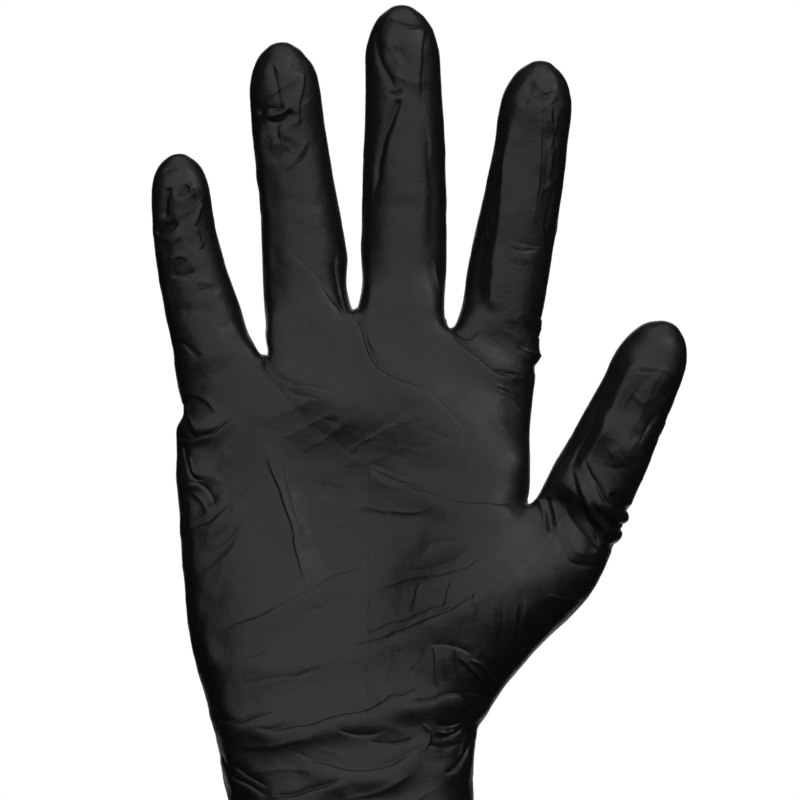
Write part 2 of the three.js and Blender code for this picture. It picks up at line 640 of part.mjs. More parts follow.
function geometryOf(triangles) {
  const index = new Map();
  const positions = [];
  const indexOf = (point) => {
    if (!index.has(point)) {
      index.set(point, index.size);
      positions.push(point.x, point.y, point.z);
    }
    return index.get(point);
  };
  const faces = triangles.flat().map(indexOf);
  const geometry = new THREE.BufferGeometry();
  geometry.setAttribute("position", new THREE.Float32BufferAttribute(positions, 3));
  geometry.setIndex(faces);
  geometry.computeVertexNormals();
  return geometry;
}

const nitrile = new THREE.MeshStandardMaterial({ color: 0x1e1e1f, roughness: 0.5, metalness: 0 });
const film = new THREE.Mesh(gloveGeometry(), nitrile);
film.name = "glove_film";

const glove = new THREE.Group();
glove.add(film);
export default glove;
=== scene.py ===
"""Looks of a disposable nitrile exam glove, in the shape that an open right hand gives it.

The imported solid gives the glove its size, place and main form. Here its film is rounded, drawn smooth and
then creased: tucks, folds and wrinkles are pressed into the outer skin, and the dipped nitrile gets its
finish. Lengths in the tables are millimetres, x towards the thumb and z towards the fingertips.
"""

import logging
import math
from dataclasses import dataclass, field
from enum import Enum

import bpy
import numpy as np
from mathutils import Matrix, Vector


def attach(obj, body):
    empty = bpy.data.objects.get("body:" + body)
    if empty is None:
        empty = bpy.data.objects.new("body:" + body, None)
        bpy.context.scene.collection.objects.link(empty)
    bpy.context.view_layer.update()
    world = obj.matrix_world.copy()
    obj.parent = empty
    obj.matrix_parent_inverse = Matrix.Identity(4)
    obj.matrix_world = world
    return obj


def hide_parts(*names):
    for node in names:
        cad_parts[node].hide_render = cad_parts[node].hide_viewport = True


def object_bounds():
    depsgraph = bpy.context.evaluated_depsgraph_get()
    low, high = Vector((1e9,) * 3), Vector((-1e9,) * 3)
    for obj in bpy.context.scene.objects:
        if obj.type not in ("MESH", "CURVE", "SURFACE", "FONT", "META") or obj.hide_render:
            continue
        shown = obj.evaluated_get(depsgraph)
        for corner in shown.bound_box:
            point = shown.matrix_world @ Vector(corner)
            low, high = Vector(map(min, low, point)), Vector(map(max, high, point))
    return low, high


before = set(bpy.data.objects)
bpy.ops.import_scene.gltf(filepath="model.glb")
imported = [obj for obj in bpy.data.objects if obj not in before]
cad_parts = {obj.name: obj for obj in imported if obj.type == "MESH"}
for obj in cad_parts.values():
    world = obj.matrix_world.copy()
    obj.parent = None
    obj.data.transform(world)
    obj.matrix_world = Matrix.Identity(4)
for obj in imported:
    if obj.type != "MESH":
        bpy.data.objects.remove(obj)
CAD_BOX = [list(corner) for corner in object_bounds()]

MM = 0.001  # metres
NODE = "glove_film"
BODY = "root"
NOMINAL_LENGTH = 240.85  # mm from bead to middle fingertip on the glove that the tables are written for

log = logging.getLogger("nitrile_glove")
Array = np.ndarray
Place = tuple[float, float]


class Side(Enum):
    """The side of the hand that a crease lies on, as the way that its film faces along Y."""

    PALM = -1
    BACK = 1


class Profile(Enum):
    """The section of a crease: shares of its height for its middle line and the film left and right of it."""

    GROOVE = (-1.0, 0.0, 0.0)
    RIDGE = (1.0, 0.0, 0.0)
    TUCK = (-0.35, -0.8, 0.15)
    LAP = (0.0, 1.0, -0.15)


GROOVE, RIDGE, TUCK, LAP = Profile


@dataclass(frozen=True)
class Crease:
    """A line along which the film is folded, tucked or pressed.

    Args:
        name: Where it lies on the glove.
        profile: Its section. Left and right are those of its route, seen from outside the palm.
        high: Height or depth in mm.
        wide: Half the width of its middle line in mm.
        route: Places [x, z] in mm that it runs through.
        fade: Shares of its length over which it rises at its start and dies out at its end.
        side: The side of the hand.
    """

    name: str
    profile: Profile
    high: float
    wide: float
    route: tuple[Place, ...]
    fade: tuple[float, float] = (0.3, 0.3)
    side: Side = Side.PALM


@dataclass(frozen=True)
class Swell:
    """A round or oval bump or dimple of the film.

    Args:
        name: Where it lies.
        high: Height in mm at its middle, below zero for a dimple.
        centre: Place [x, z] in mm.
        reach: Half sizes in mm, along its own two directions.
        turn: Degrees that its first direction is turned up from +x.
        side: The side of the hand.
    """

    name: str
    high: float
    centre: Place
    reach: tuple[float, float]
    turn: float = 0.0
    side: Side = Side.PALM


@dataclass(frozen=True)
class Crumple:
    """A patch of fine wrinkles that run about the same way.

    Args:
        name: Where it lies.
        high: Height of the wrinkles in mm.
        pitch: Their distance in mm.
        slender: How many times longer than their distance they are.
        run: Degrees that they are turned up from +x.
        centre: Middle of the patch in mm.
        reach: Half sizes of the patch in mm, across and up.
        side: The side of the hand.
    """

    name: str
    high: float
    pitch: float
    slender: float
    run: float
    centre: Place
    reach: tuple[float, float]
    side: Side = Side.PALM


FINGER_ROOT_CREASES = (
    Crease("ring root", TUCK, 0.86, 0.5,
           ((-22.5, 152), (-21, 147), (-18.5, 144.2), (-14.4, 142.4), (-7, 141.6),
            (-2.9, 140.7)), (0, 0.3)),
    Crease("ring root, lower line", TUCK, 0.21, 0.54, ((-17.5, 141), (-12, 138.6), (-6, 138)), (0.2, 0.4)),
    Crease("from ring root to palm", GROOVE, 0.2, 1.8,
           ((-25, 148.6), (-15.2, 136.7), (-10.3, 131.9), (-0.5, 124.9), (4.4, 121.3)), (0.1, 0.3)),
    Crease("middle root", TUCK, 0.92, 0.54,
           ((2.4, 159), (4.2, 152.4), (6, 148.6), (9.3, 145.3), (15.8, 142.4), (21.5, 140.4)), (0, 0.35)),
    Crease("middle root, inner line", RIDGE, 0.22, 0.38,
           ((4.5, 154.5), (6.5, 151.2), (9.5, 149.2)), (0.1, 0.5)),
    Crease("middle root, thin end", GROOVE, 0.18, 0.38, ((20, 141), (26.4, 134.3), (32.1, 127.8))),
    Crease("index root", TUCK, 0.8, 0.5,
           ((25.5, 158), (28.5, 153.6), (32.9, 149.8), (37, 146.1), (41, 144.6), (45.9, 144.1)), (0, 0.3)),
    Crease("index root, upper ridge", RIDGE, 0.3, 0.42, ((36, 142.8), (42.7, 139.4), (47.8, 135.5))),
    Crease("index root, middle ridge", RIDGE, 0.24, 0.4, ((37.4, 141.2), (42, 138), (46.2, 133.6))),
    Crease("index root, across", TUCK, 0.3, 0.48, ((36.4, 145.6), (41, 144.9), (48.6, 143.3)), (0.2, 0.1)),
    Crease("ring to middle", GROOVE, 0.16, 0.52, ((-7.5, 156), (-3, 148.5), (-0.5, 145))),
    Crease("ring to middle, other way", GROOVE, 0.15, 0.45, ((4, 151), (0.5, 146.6), (-1.5, 143.2))),
    Crease("index web flap", RIDGE, 0.41, 0.45, ((27.5, 155.6), (31.5, 154.4), (34.2, 157)), (0.1, 0.3)),
)

PALM_CREASES = (
    Crease("packing line", GROOVE, 0.11, 0.34,
           ((4.3, 138), (4.4, 120), (4.5, 96), (4.3, 70), (3, 36)), (0.05, 0)),
    Crease("packing line, upper twin", GROOVE, 0.08, 0.34, ((1.2, 139), (1.4, 131), (2, 122))),
    Crease("upper fold, top line", TUCK, 0.42, 0.48, ((4.6, 121.6), (10, 119.4), (17, 117.4))),
    Crease("upper fold, low line", TUCK, 0.62, 0.62,
           ((4.4, 120.4), (10.9, 117), (21.5, 113.6), (31.3, 111.3), (40, 111.2),
            (48.5, 112)), (0.1, 0.15)),
    Crease("under upper fold 1", RIDGE, 0.12, 1, ((8, 106.5), (14, 105.4), (21, 105))),
    Crease("under upper fold 2", RIDGE, 0.11, 0.9, ((7, 111.5), (13, 109.5), (19, 109))),
    Crease("under upper fold 3", GROOVE, 0.11, 0.68, ((6, 101.6), (13, 103.6), (22, 102.8))),
    Crease("index pad 1", TUCK, 0.17, 0.46, ((19, 130.2), (24, 128.2), (28.8, 127), (31.3, 124.5))),
    Crease("index pad 2", GROOVE, 0.09, 0.52, ((24, 136.5), (29, 133), (33, 129))),
    Crease("ring pad", GROOVE, 0.12, 1, ((-10.5, 134.2), (-5, 132.4), (-1.5, 131.2))),
    Crease("steep 1", LAP, 0.45, 0.46,
           ((-23.7, 128.6), (-20.1, 119.6), (-16, 107.4), (-13.5, 97.6), (-11.7, 89.5)), (0.35, 0.15)),
    Crease("steep 2", LAP, 0.28, 0.42, ((-17.2, 125), (-16.8, 117), (-14, 106.8), (-12.6, 99))),
    Crease("oblique upper", TUCK, 0.5, 0.66,
           ((-35, 77.3), (-27, 80.8), (-20.9, 83.4), (-11.9, 88.3), (-3.8, 92.3), (4, 95)), (0.3, 0.15)),
    Crease("oblique upper, thumb side", TUCK, 0.26, 0.58,
           ((5.6, 88.7), (15, 91.1), (26.4, 93.6), (33, 96.6), (39.5, 101.5)), (0.15, 0.3)),
    Crease("oblique upper, thumb crest", RIDGE, 0.12, 0.9,
           ((5.5, 94.4), (15.8, 93.4), (26.4, 96.4), (38, 101.8))),
    Crease("oblique middle", TUCK, 0.15, 0.6, ((-14, 81), (-6, 84.6), (1, 88))),
    Crease("oblique lower", TUCK, 0.46, 0.62,
           ((-8, 74), (0, 74.8), (8, 76.6), (15.8, 79.7), (28, 84.9), (36, 90.5),
            (41.5, 95.5)), (0.3, 0.3)),
    Crease("oblique lower, crest", TUCK, 0.22, 0.53,
           ((-4, 76.8), (6, 78.4), (15.8, 82), (28, 87.3), (37, 93.4)), (0.3, 0.35)),
    Crease("oblique lower, little side", TUCK, 0.26, 0.72, ((-33, 69), (-24, 72), (-14, 74.8), (-4, 75.6))),
    Crease("oblique lowest", TUCK, 0.24, 0.72, ((-31, 62), (-22, 65), (-12, 66.6), (-4, 68.8))),
    Crease("fan 1", LAP, 0.15, 0.36, ((18.2, 91.1), (16.5, 86), (15, 82.1))),
    Crease("fan 2", LAP, 0.16, 0.36, ((26.8, 92), (24.8, 87), (23.6, 83))),
    Crease("fan 3", LAP, 0.23, 0.38, ((31.7, 91), (31.9, 82), (32.1, 72))),
    Crease("fan 4", RIDGE, 0.2, 0.5, ((36.4, 90), (37.6, 78), (37.8, 70))),
    Crease("fan 5", GROOVE, 0.19, 0.38, ((20.7, 76), (17, 69.4), (12.5, 63.4))),
    Crease("fan 6", GROOVE, 0.15, 0.38, ((11.4, 76), (9.4, 67), (7.6, 60.6))),
    Crease("fan 7", RIDGE, 0.11, 0.45, ((13.2, 74), (11, 67), (9.6, 62.6))),
    Crease("heel across 1", TUCK, 0.12, 0.72, ((-31, 57.5), (-20, 60.5), (-10, 63.5), (-2, 66.5))),
)

THUMB_BALL_CREASES = (
    Crease("ball upright 1", LAP, 0.32, 0.38, ((21.6, 75), (22, 69), (22.5, 63)), (0.2, 0.2)),
    Crease("ball upright 2", LAP, 0.3, 0.38, ((27, 75), (27.3, 70), (27.8, 65)), (0.2, 0.3)),
    Crease("ball upright 3", RIDGE, 0.24, 0.48, ((24.6, 73.6), (25, 69), (25.2, 64.6))),
    Crease("ball across", TUCK, 0.36, 0.46, ((20.4, 74.4), (25, 74), (29, 73.4), (31.6, 71.4)), (0.2, 0.2)),
    Crease("ball knot 1", LAP, 0.49, 0.4,
           ((27.8, 71.5), (30.5, 68.8), (33.4, 65.6), (35.2, 62.6)), (0.2, 0.3)),
    Crease("ball knot 2", RIDGE, 0.41, 0.42,
           ((31, 70.6), (33.6, 69.2), (36.5, 65.8), (38.4, 65)), (0.2, 0.2)),
    Crease("ball knot 3", TUCK, 0.39, 0.46, ((30, 66.2), (32.4, 62.8), (34, 59.2))),
    Crease("ball edge 1", LAP, 0.38, 0.42, ((45.3, 88), (44.4, 79), (43.2, 70.5), (40.4, 67)), (0.3, 0.15)),
    Crease("ball edge 2", RIDGE, 0.28, 0.48, ((43.2, 87), (42.6, 78), (41.4, 72))),
    Crease("ball edge 3", GROOVE, 0.24, 0.48, ((48.6, 84), (46.8, 76), (45, 71.5))),
    Crease("ball edge 4", GROOVE, 0.2, 0.56, ((39, 88), (39.4, 79), (38.4, 71))),
    Crease("ball small 1", GROOVE, 0.24, 0.4, ((29, 62.6), (32.8, 61.6), (35.4, 63.4))),
    Crease("ball small 2", RIDGE, 0.24, 0.4, ((28.4, 60.4), (31.8, 58.6), (33.4, 56))),
)

WRIST_CREASES = (
    Crease("wrist", TUCK, 1.35, 0.74,
           ((-25.5, 52.2), (-20, 52.5), (-13, 53.8), (-4, 56.3), (3.5, 57.6), (9, 60.4)), (0.3, 0.12)),
    Crease("wrist knot", TUCK, 0.69, 0.43,
           ((7.4, 59.4), (10.4, 61.6), (13, 61.6), (19.6, 64.4)), (0.15, 0.35)),
    Crease("wrist, little side", TUCK, 0.75, 0.53,
           ((-36.5, 58.5), (-33, 55.2), (-29, 54), (-24.4, 55.4), (-18.6, 58.4)), (0.15, 0.3)),
    Crease("wrist branch", TUCK, 0.63, 0.48,
           ((13, 59.2), (20.7, 59.9), (26, 61.2), (29.4, 61), (31, 58.4), (32.2, 55.4)), (0.2, 0.15)),
    Crease("under wrist 1", TUCK, 0.57, 0.53,
           ((4.5, 49.4), (9, 48.5), (13, 48.7), (18, 50.6)), (0.25, 0.3)),
    Crease("under wrist 2", TUCK, 0.39, 0.53, ((-4, 52.8), (1, 51.2), (5, 50.9), (9, 51.8))),
    Crease("sag", TUCK, 1, 0.7,
           ((-15, 47.2), (-10, 44.9), (-4, 43), (2.7, 42.1), (9, 42.8), (14, 44.8),
            (19.4, 48)), (0.25, 0.3)),
    Crease("sag, above", RIDGE, 0.16, 0.9, ((-10, 48.4), (-1, 45.4), (8, 45.4))),
    Crease("third", TUCK, 0.9, 0.62, ((-21, 34.8), (-15, 35.2), (-9, 37), (-0.5, 40)), (0.15, 0.3)),
    Crease("little side slant", TUCK, 0.48, 0.5,
           ((-33.4, 46.5), (-30, 41), (-26, 37.6), (-20.9, 34.2)), (0.1, 0.25)),
    Crease("little side slant, crest", TUCK, 0.3, 0.48, ((-30, 44.5), (-26, 40), (-20, 36.6))),
    Crease("thumb side 1", TUCK, 0.51, 0.41, ((21.6, 53.9), (26, 53.4), (30, 54.4))),
    Crease("thumb side 2", TUCK, 0.51, 0.41, ((21.2, 50.8), (25, 50.2), (28.4, 51.6), (29.6, 54))),
    Crease("thumb side 3", TUCK, 0.45, 0.41, ((19.4, 48.2), (25, 47.6), (29.4, 48.6))),
    Crease("thumb side 4", RIDGE, 0.38, 0.4, ((22, 52.2), (26, 51.8), (28.2, 52.8))),
    Crease("thumb side 5", RIDGE, 0.38, 0.48, ((18.2, 54.6), (20.4, 51), (19.2, 46.4))),
    Crease("thumb side deep", TUCK, 0.86, 0.53,
           ((24, 40.8), (27, 41.9), (29.4, 45), (31.2, 48.6), (32.6, 52)), (0.2, 0.1)),
    Crease("thumb side deep, crest", RIDGE, 0.43, 0.45, ((27.6, 44.6), (29, 47.4), (30.4, 51.6))),
    Crease("cuff slack 1", RIDGE, 0.32, 0.96, ((-2, 34), (8, 36.5), (17, 41.6))),
    Crease("cuff slack 2", RIDGE, 0.28, 0.96, ((2, 30), (12, 32), (24, 38.4))),
    Crease("cuff slack 3", TUCK, 0.39, 0.84, ((-26, 30), (-12, 27), (2, 29))),
    Crease("cuff slack 4", RIDGE, 0.38, 1.12, ((-22, 20), (-6, 17.4), (12, 21))),
)

LITTLE_EDGE_CREASES = (
    Crease("pocket", GROOVE, 0.7, 0.94,
           ((-44.4, 137.6), (-43.4, 133.4), (-41, 129.4), (-38.6, 128.4)), (0.1, 0.2)),
    Crease("pocket crest", RIDGE, 0.57, 0.51, ((-42.4, 137.6), (-41.6, 133.6), (-39.6, 130.2)), (0.2, 0.3)),
    Crease("pocket roof", RIDGE, 0.47, 0.68, ((-45, 138.6), (-40, 139), (-36.4, 137), (-33.4, 133.4))),
    Crease("under pocket", TUCK, 0.63, 0.53,
           ((-44.6, 128), (-40.6, 128), (-36, 129.4), (-32.6, 131.8), (-29.6, 132.4)), (0.05, 0.25)),
    Crease("edge fold 2", TUCK, 0.63, 0.53,
           ((-42.8, 127), (-42, 122), (-40.2, 117.4), (-37.4, 117.8)), (0.1, 0.2)),
    Crease("edge fold 2, crest", RIDGE, 0.51, 0.47, ((-41.2, 124), (-40.2, 119.6), (-38.6, 118.6))),
    Crease("edge fold 3", TUCK, 0.54, 0.53, ((-44.6, 116.6), (-40, 116.4), (-36.6, 114), (-34.3, 109.9))),
    Crease("edge fold 4", RIDGE, 0.38, 0.59, ((-41, 114.6), (-37.6, 111.4), (-36.4, 107.6))),
    Crease("edge fold 5", TUCK, 0.39, 0.72, ((-41.5, 103), (-38, 105.4), (-34, 108.6), (-30.4, 111.4))),
    Crease("edge ray 1", RIDGE, 0.27, 1.02, ((-38, 101), (-32, 107), (-27, 113.4), (-24, 119))),
    Crease("edge ray 2", GROOVE, 0.18, 1.1, ((-37, 96), (-31, 101.4), (-27.6, 106))),
    Crease("edge ray 3", RIDGE, 0.24, 1.1, ((-38.4, 92), (-32, 97.4), (-29, 102.8))),
    Crease("edge ray 4", GROOVE, 0.15, 1.02, ((-35, 121), (-32, 116), (-31.4, 111))),
    Crease("edge ray 5", RIDGE, 0.24, 0.85, ((-32.4, 127), (-33.4, 122.4), (-36, 119))),
    Crease("edge line down", GROOVE, 0.32, 0.68, ((-41.8, 113), (-41, 103), (-40, 92)), (0.2, 0.5)),
    Crease("edge corner", RIDGE, 1.7, 4.6,
           ((-40.4, 138), (-41.2, 122), (-40.6, 100), (-37.6, 78), (-33, 62), (-30, 46),
            (-29, 30)), (0.08, 0.1)),
)

MIDDLE_FINGER_CREASES = (
    Crease("tip crescent", RIDGE, 0.5, 0.42, ((10.4, 237.8), (12.6, 235.8), (16.3, 234.6), (19.4, 235.5))),
    Crease("tip ridge", LAP, 0.28, 0.7, ((18.4, 214), (18.2, 222), (18.6, 229), (19.6, 235.6)), (0.3, 0.1)),
    Crease("tip groove", GROOVE, 0.6, 1,
           ((6.6, 235), (7.3, 228.5), (8.6, 224.5), (10.3, 221), (11.4, 218.4)), (0.2, 0.1)),
    Crease("tip groove, inner", RIDGE, 0.19, 0.8, ((9.4, 233), (11.4, 227.6), (13.4, 223))),
    Crease("tip hollow", GROOVE, 0.4, 1.7, ((12, 231), (14, 226), (15, 221.4))),
    Crease("tip knot", TUCK, 0.6, 0.5, ((8.8, 217.8), (11.6, 217), (14.2, 218.2))),
    Crease("long fold", GROOVE, 0.85, 0.8,
           ((5.3, 189.2), (6.8, 194.7), (8.2, 202), (10.1, 209.3), (12.8, 216.2)), (0.3, 0.06)),
    Crease("long fold, crest", RIDGE, 0.22, 1.2, ((9.6, 199), (10.8, 206), (13.4, 213.4))),
    Crease("long fold, outer crest", RIDGE, 0.19, 0.8, ((4.6, 187), (5.6, 193), (6.2, 199.6))),
    Crease("joint", GROOVE, 0.3, 3, ((5, 186.4), (12, 188.4), (20, 187.4)), (0.2, 0.2)),
    Crease("joint line", GROOVE, 0.06, 0.51, ((7, 188.6), (13, 190.2), (20, 189.2))),
    Crease("thumb side groove", GROOVE, 0.34, 1.5, ((20.2, 206), (21.4, 196), (21.6, 184), (21, 174))),
    Crease("thumb side line", GROOVE, 0.12, 0.42, ((19.6, 212), (20.4, 202), (21, 192))),
    Crease("root, thumb side", RIDGE, 0.3, 0.59, ((24.4, 164), (22.6, 169.4), (21.8, 175.6))),
    Crease("root, little side", GROOVE, 0.22, 0.68, ((4.6, 166), (4.9, 174), (4.2, 181))),
    Crease("little side corner", RIDGE, 0.55, 1.6, ((5.4, 182), (5.2, 170), (5, 157))),
)

RING_FINGER_CREASES = (
    Crease("tip upright", GROOVE, 0.55, 0.85, ((-19.9, 225.6), (-19.3, 220.4), (-17.9, 214.8)), (0.2, 0.3)),
    Crease("tip dimple edge", GROOVE, 0.3, 1.2, ((-15.4, 225.4), (-13, 224), (-10.6, 226)), (0.2, 0.2)),
    Crease("tip ridge", LAP, 0.28, 0.65,
           ((-13.6, 207), (-13.1, 213), (-12.4, 219), (-11.4, 225.4)), (0.2, 0.2)),
    Crease("tip ridge hollow", GROOVE, 0.2, 0.85, ((-13.4, 222.6), (-14.8, 219), (-16.8, 215.6))),
    Crease("cross fold 1", TUCK, 0.75, 0.55,
           ((-23.8, 212), (-21.6, 213.6), (-19, 213.6), (-16.4, 214.2)), (0.1, 0.2)),
    Crease("cross fold 2", RIDGE, 0.49, 0.6, ((-23, 211.6), (-20, 212.1), (-17, 213), (-14.2, 215.2))),
    Crease("cross fold 3", GROOVE, 0.85, 0.7,
           ((-21.6, 210.6), (-18.4, 210.2), (-16.4, 211.4), (-14.6, 213.6)), (0.1, 0.3)),
    Crease("cross fold 4", GROOVE, 0.6, 0.62, ((-18.8, 210.4), (-19.2, 207.8), (-18.4, 204.6))),
    Crease("cross fold 5", RIDGE, 0.22, 0.5, ((-21.4, 208.4), (-20, 205.4), (-20.4, 201.6))),
    Crease("small fold 1", RIDGE, 0.38, 0.55, ((-10.9, 205.6), (-12, 203.2), (-13.8, 201.2))),
    Crease("small fold 2", GROOVE, 0.26, 1.1, ((-20.6, 200.4), (-18.4, 200.8), (-15.6, 203.4)), (0.2, 0.2)),
    Crease("small fold 3", RIDGE, 0.22, 0.8, ((-17.6, 197.6), (-14.8, 200), (-12.8, 203))),
    Crease("small fold 4", GROOVE, 0.19, 0.51, ((-14.4, 199.2), (-12, 200.4), (-10, 203.4))),
    Crease("joint", GROOVE, 0.12, 1.87, ((-20, 189), (-13, 189.6), (-6.4, 188)), (0.2, 0.2)),
    Crease("little side edge", RIDGE, 0.75, 1.5,
           ((-23.6, 214), (-22.6, 200), (-21.2, 186), (-20.6, 172), (-20.4, 160),
            (-20.6, 150)), (0.12, 0.05)),
    Crease("slant", TUCK, 0.21, 0.66, ((-16.4, 178), (-10.4, 171), (-4, 163), (-0.6, 158)), (0.2, 0.2)),
    Crease("thumb side fold", TUCK, 0.54, 0.6,
           ((-0.8, 160), (-2.6, 166), (-3.6, 172), (-3.2, 178)), (0.2, 0.3)),
    Crease("pad line", GROOVE, 0.08, 0.42, ((-12.4, 164.4), (-10.8, 158), (-9.4, 151.6))),
)

INDEX_FINGER_CREASES = (
    Crease("tip arc", RIDGE, 0.4, 0.5, ((47.4, 222.6), (48.2, 219.6), (50.6, 218), (53.4, 219.2))),
    Crease("tip under arc", TUCK, 0.39, 0.5, ((46.4, 217), (49.4, 215.8), (52.8, 216.4))),
    Crease("tip little side", GROOVE, 0.6, 1.1, ((45.8, 221.6), (46.6, 217.4), (44.4, 214.6))),
    Crease("long ridge", LAP, 0.26, 0.6,
           ((47.2, 180), (48.6, 190), (49.5, 200), (49.8, 206), (50.1, 213.6)), (0.3, 0.1)),
    Crease("long ridge groove", GROOVE, 0.18, 0.8, ((51.4, 213), (51.2, 204), (50.6, 195), (49.6, 186))),
    Crease("side patch 1", LAP, 0.3, 0.7, ((53.6, 206.4), (52.4, 211.6), (53.4, 215.6))),
    Crease("side patch 2", LAP, 0.28, 0.7, ((51.6, 194.6), (52.8, 200), (54, 206))),
    Crease("side patch 3", GROOVE, 0.26, 0.48, ((52.4, 209), (53.2, 203), (52.6, 198))),
    Crease("side patch 4", LAP, 0.22, 0.7, ((50.4, 176), (50.4, 183), (51.4, 190))),
    Crease("little side line", RIDGE, 0.41, 0.42, ((36.2, 190), (35.6, 184), (35.4, 178)), (0.2, 0.2)),
    Crease("little side groove", GROOVE, 0.22, 0.4, ((38.2, 190), (37.6, 183), (37, 177))),
    Crease("little side crest", RIDGE, 0.22, 0.64, ((41, 205), (40, 197), (39, 189))),
    Crease("joint 1", TUCK, 0.16, 0.45, ((40.6, 179.6), (45, 178.6), (50.2, 177.4)), (0.2, 0.2)),
    Crease("joint 2", TUCK, 0.26, 0.45, ((41, 177.4), (44.6, 176.4), (48.8, 177)), (0.25, 0.25)),
    Crease("joint 3", RIDGE, 0.08, 0.8, ((39.6, 175.8), (44, 174.6), (49.6, 174.8))),
    Crease("joint 4", TUCK, 0.12, 0.45, ((40.6, 173.8), (43.4, 172.8), (46.6, 172.6))),
    Crease("edge nick 1", TUCK, 0.42, 0.48, ((46.6, 161.4), (49.4, 159.8), (51.4, 157.4)), (0.3, 0)),
    Crease("edge nick 2", TUCK, 0.39, 0.48, ((44.8, 157), (48, 155.2), (50.8, 153)), (0.3, 0)),
    Crease("edge nick 3", RIDGE, 0.38, 0.64, ((44.6, 151.8), (47.4, 150.4), (50.4, 149.4)), (0.4, 0)),
    Crease("edge nick 4", TUCK, 0.51, 0.5, ((44, 148.6), (47, 147), (50.4, 146)), (0.4, 0)),
    Crease("root upright", GROOVE, 0.11, 0.4, ((41.4, 168), (40.2, 160), (39.8, 152))),
    Crease("little side corner", RIDGE, 0.95, 2.3,
           ((42.4, 212), (40.8, 203), (39.4, 190), (37.6, 176), (36.2, 160)), (0.15, 0.1)),
    Crease("little side hollow", GROOVE, 0.75, 2,
           ((39.4, 212), (37.6, 203), (35.8, 190), (34, 176), (32.8, 162)), (0.15, 0.1)),
)

LITTLE_FINGER_CREASES = (
    Crease("tip oval", GROOVE, 0.2, 0.54, ((-48.8, 197), (-46.6, 198.6), (-44.6, 197.6))),
    Crease("tip slant", RIDGE, 0.38, 0.6, ((-42.4, 195.6), (-41.6, 192.6), (-40.4, 190))),
    Crease("upright", GROOVE, 0.55, 0.75, ((-46.8, 193.4), (-47.9, 189), (-47.8, 184.4)), (0.15, 0.2)),
    Crease("upright crest", RIDGE, 0.22, 0.9, ((-45, 192), (-45.4, 188), (-45, 184.6))),
    Crease("slant fold", TUCK, 0.6, 0.6, ((-45.4, 190.2), (-43.4, 191), (-41.4, 193.4)), (0.2, 0.2)),
    Crease("across 1", TUCK, 0.65, 0.6, ((-50, 181.4), (-47, 181.9), (-44, 183.6)), (0.1, 0.3)),
    Crease("across 1, crest", RIDGE, 0.22, 0.9, ((-49.4, 179.6), (-46, 180), (-43, 182))),
    Crease("thumb side ridge", RIDGE, 0.38, 0.5, ((-40.4, 183), (-39.6, 186), (-38.4, 190)), (0.2, 0.3)),
    Crease("thumb side ridge 2", RIDGE, 0.3, 0.5, ((-38.6, 177), (-39.2, 180.4), (-40, 184)), (0.2, 0.2)),
    Crease("across 2", TUCK, 0.5, 0.6, ((-46.6, 170.2), (-43, 170), (-40, 171.6)), (0.25, 0.25)),
    Crease("across 2, crest", RIDGE, 0.26, 0.72, ((-48, 174), (-44.6, 175.8), (-42, 174.6))),
    Crease("across 3", TUCK, 0.39, 0.78, ((-40.6, 166), (-37, 166.4), (-33.6, 165)), (0.25, 0.25)),
    Crease("across 3, crest", RIDGE, 0.19, 0.81, ((-41.6, 168.6), (-38, 169), (-35, 167.6))),
    Crease("across 4", GROOVE, 0.24, 2.2, ((-45, 161), (-38.5, 161.6), (-33, 160)), (0.25, 0.2)),
    Crease("root slant 1", TUCK, 0.24, 0.72, ((-44.6, 154), (-41.4, 150.4), (-39, 148.4))),
    Crease("root slant 2", GROOVE, 0.3, 1.6, ((-33.4, 159), (-30, 153), (-26.6, 149))),
    Crease("little side corner", RIDGE, 0.45, 1.3,
           ((-50.4, 194), (-49.6, 180), (-47.2, 164), (-44.6, 152))),
)

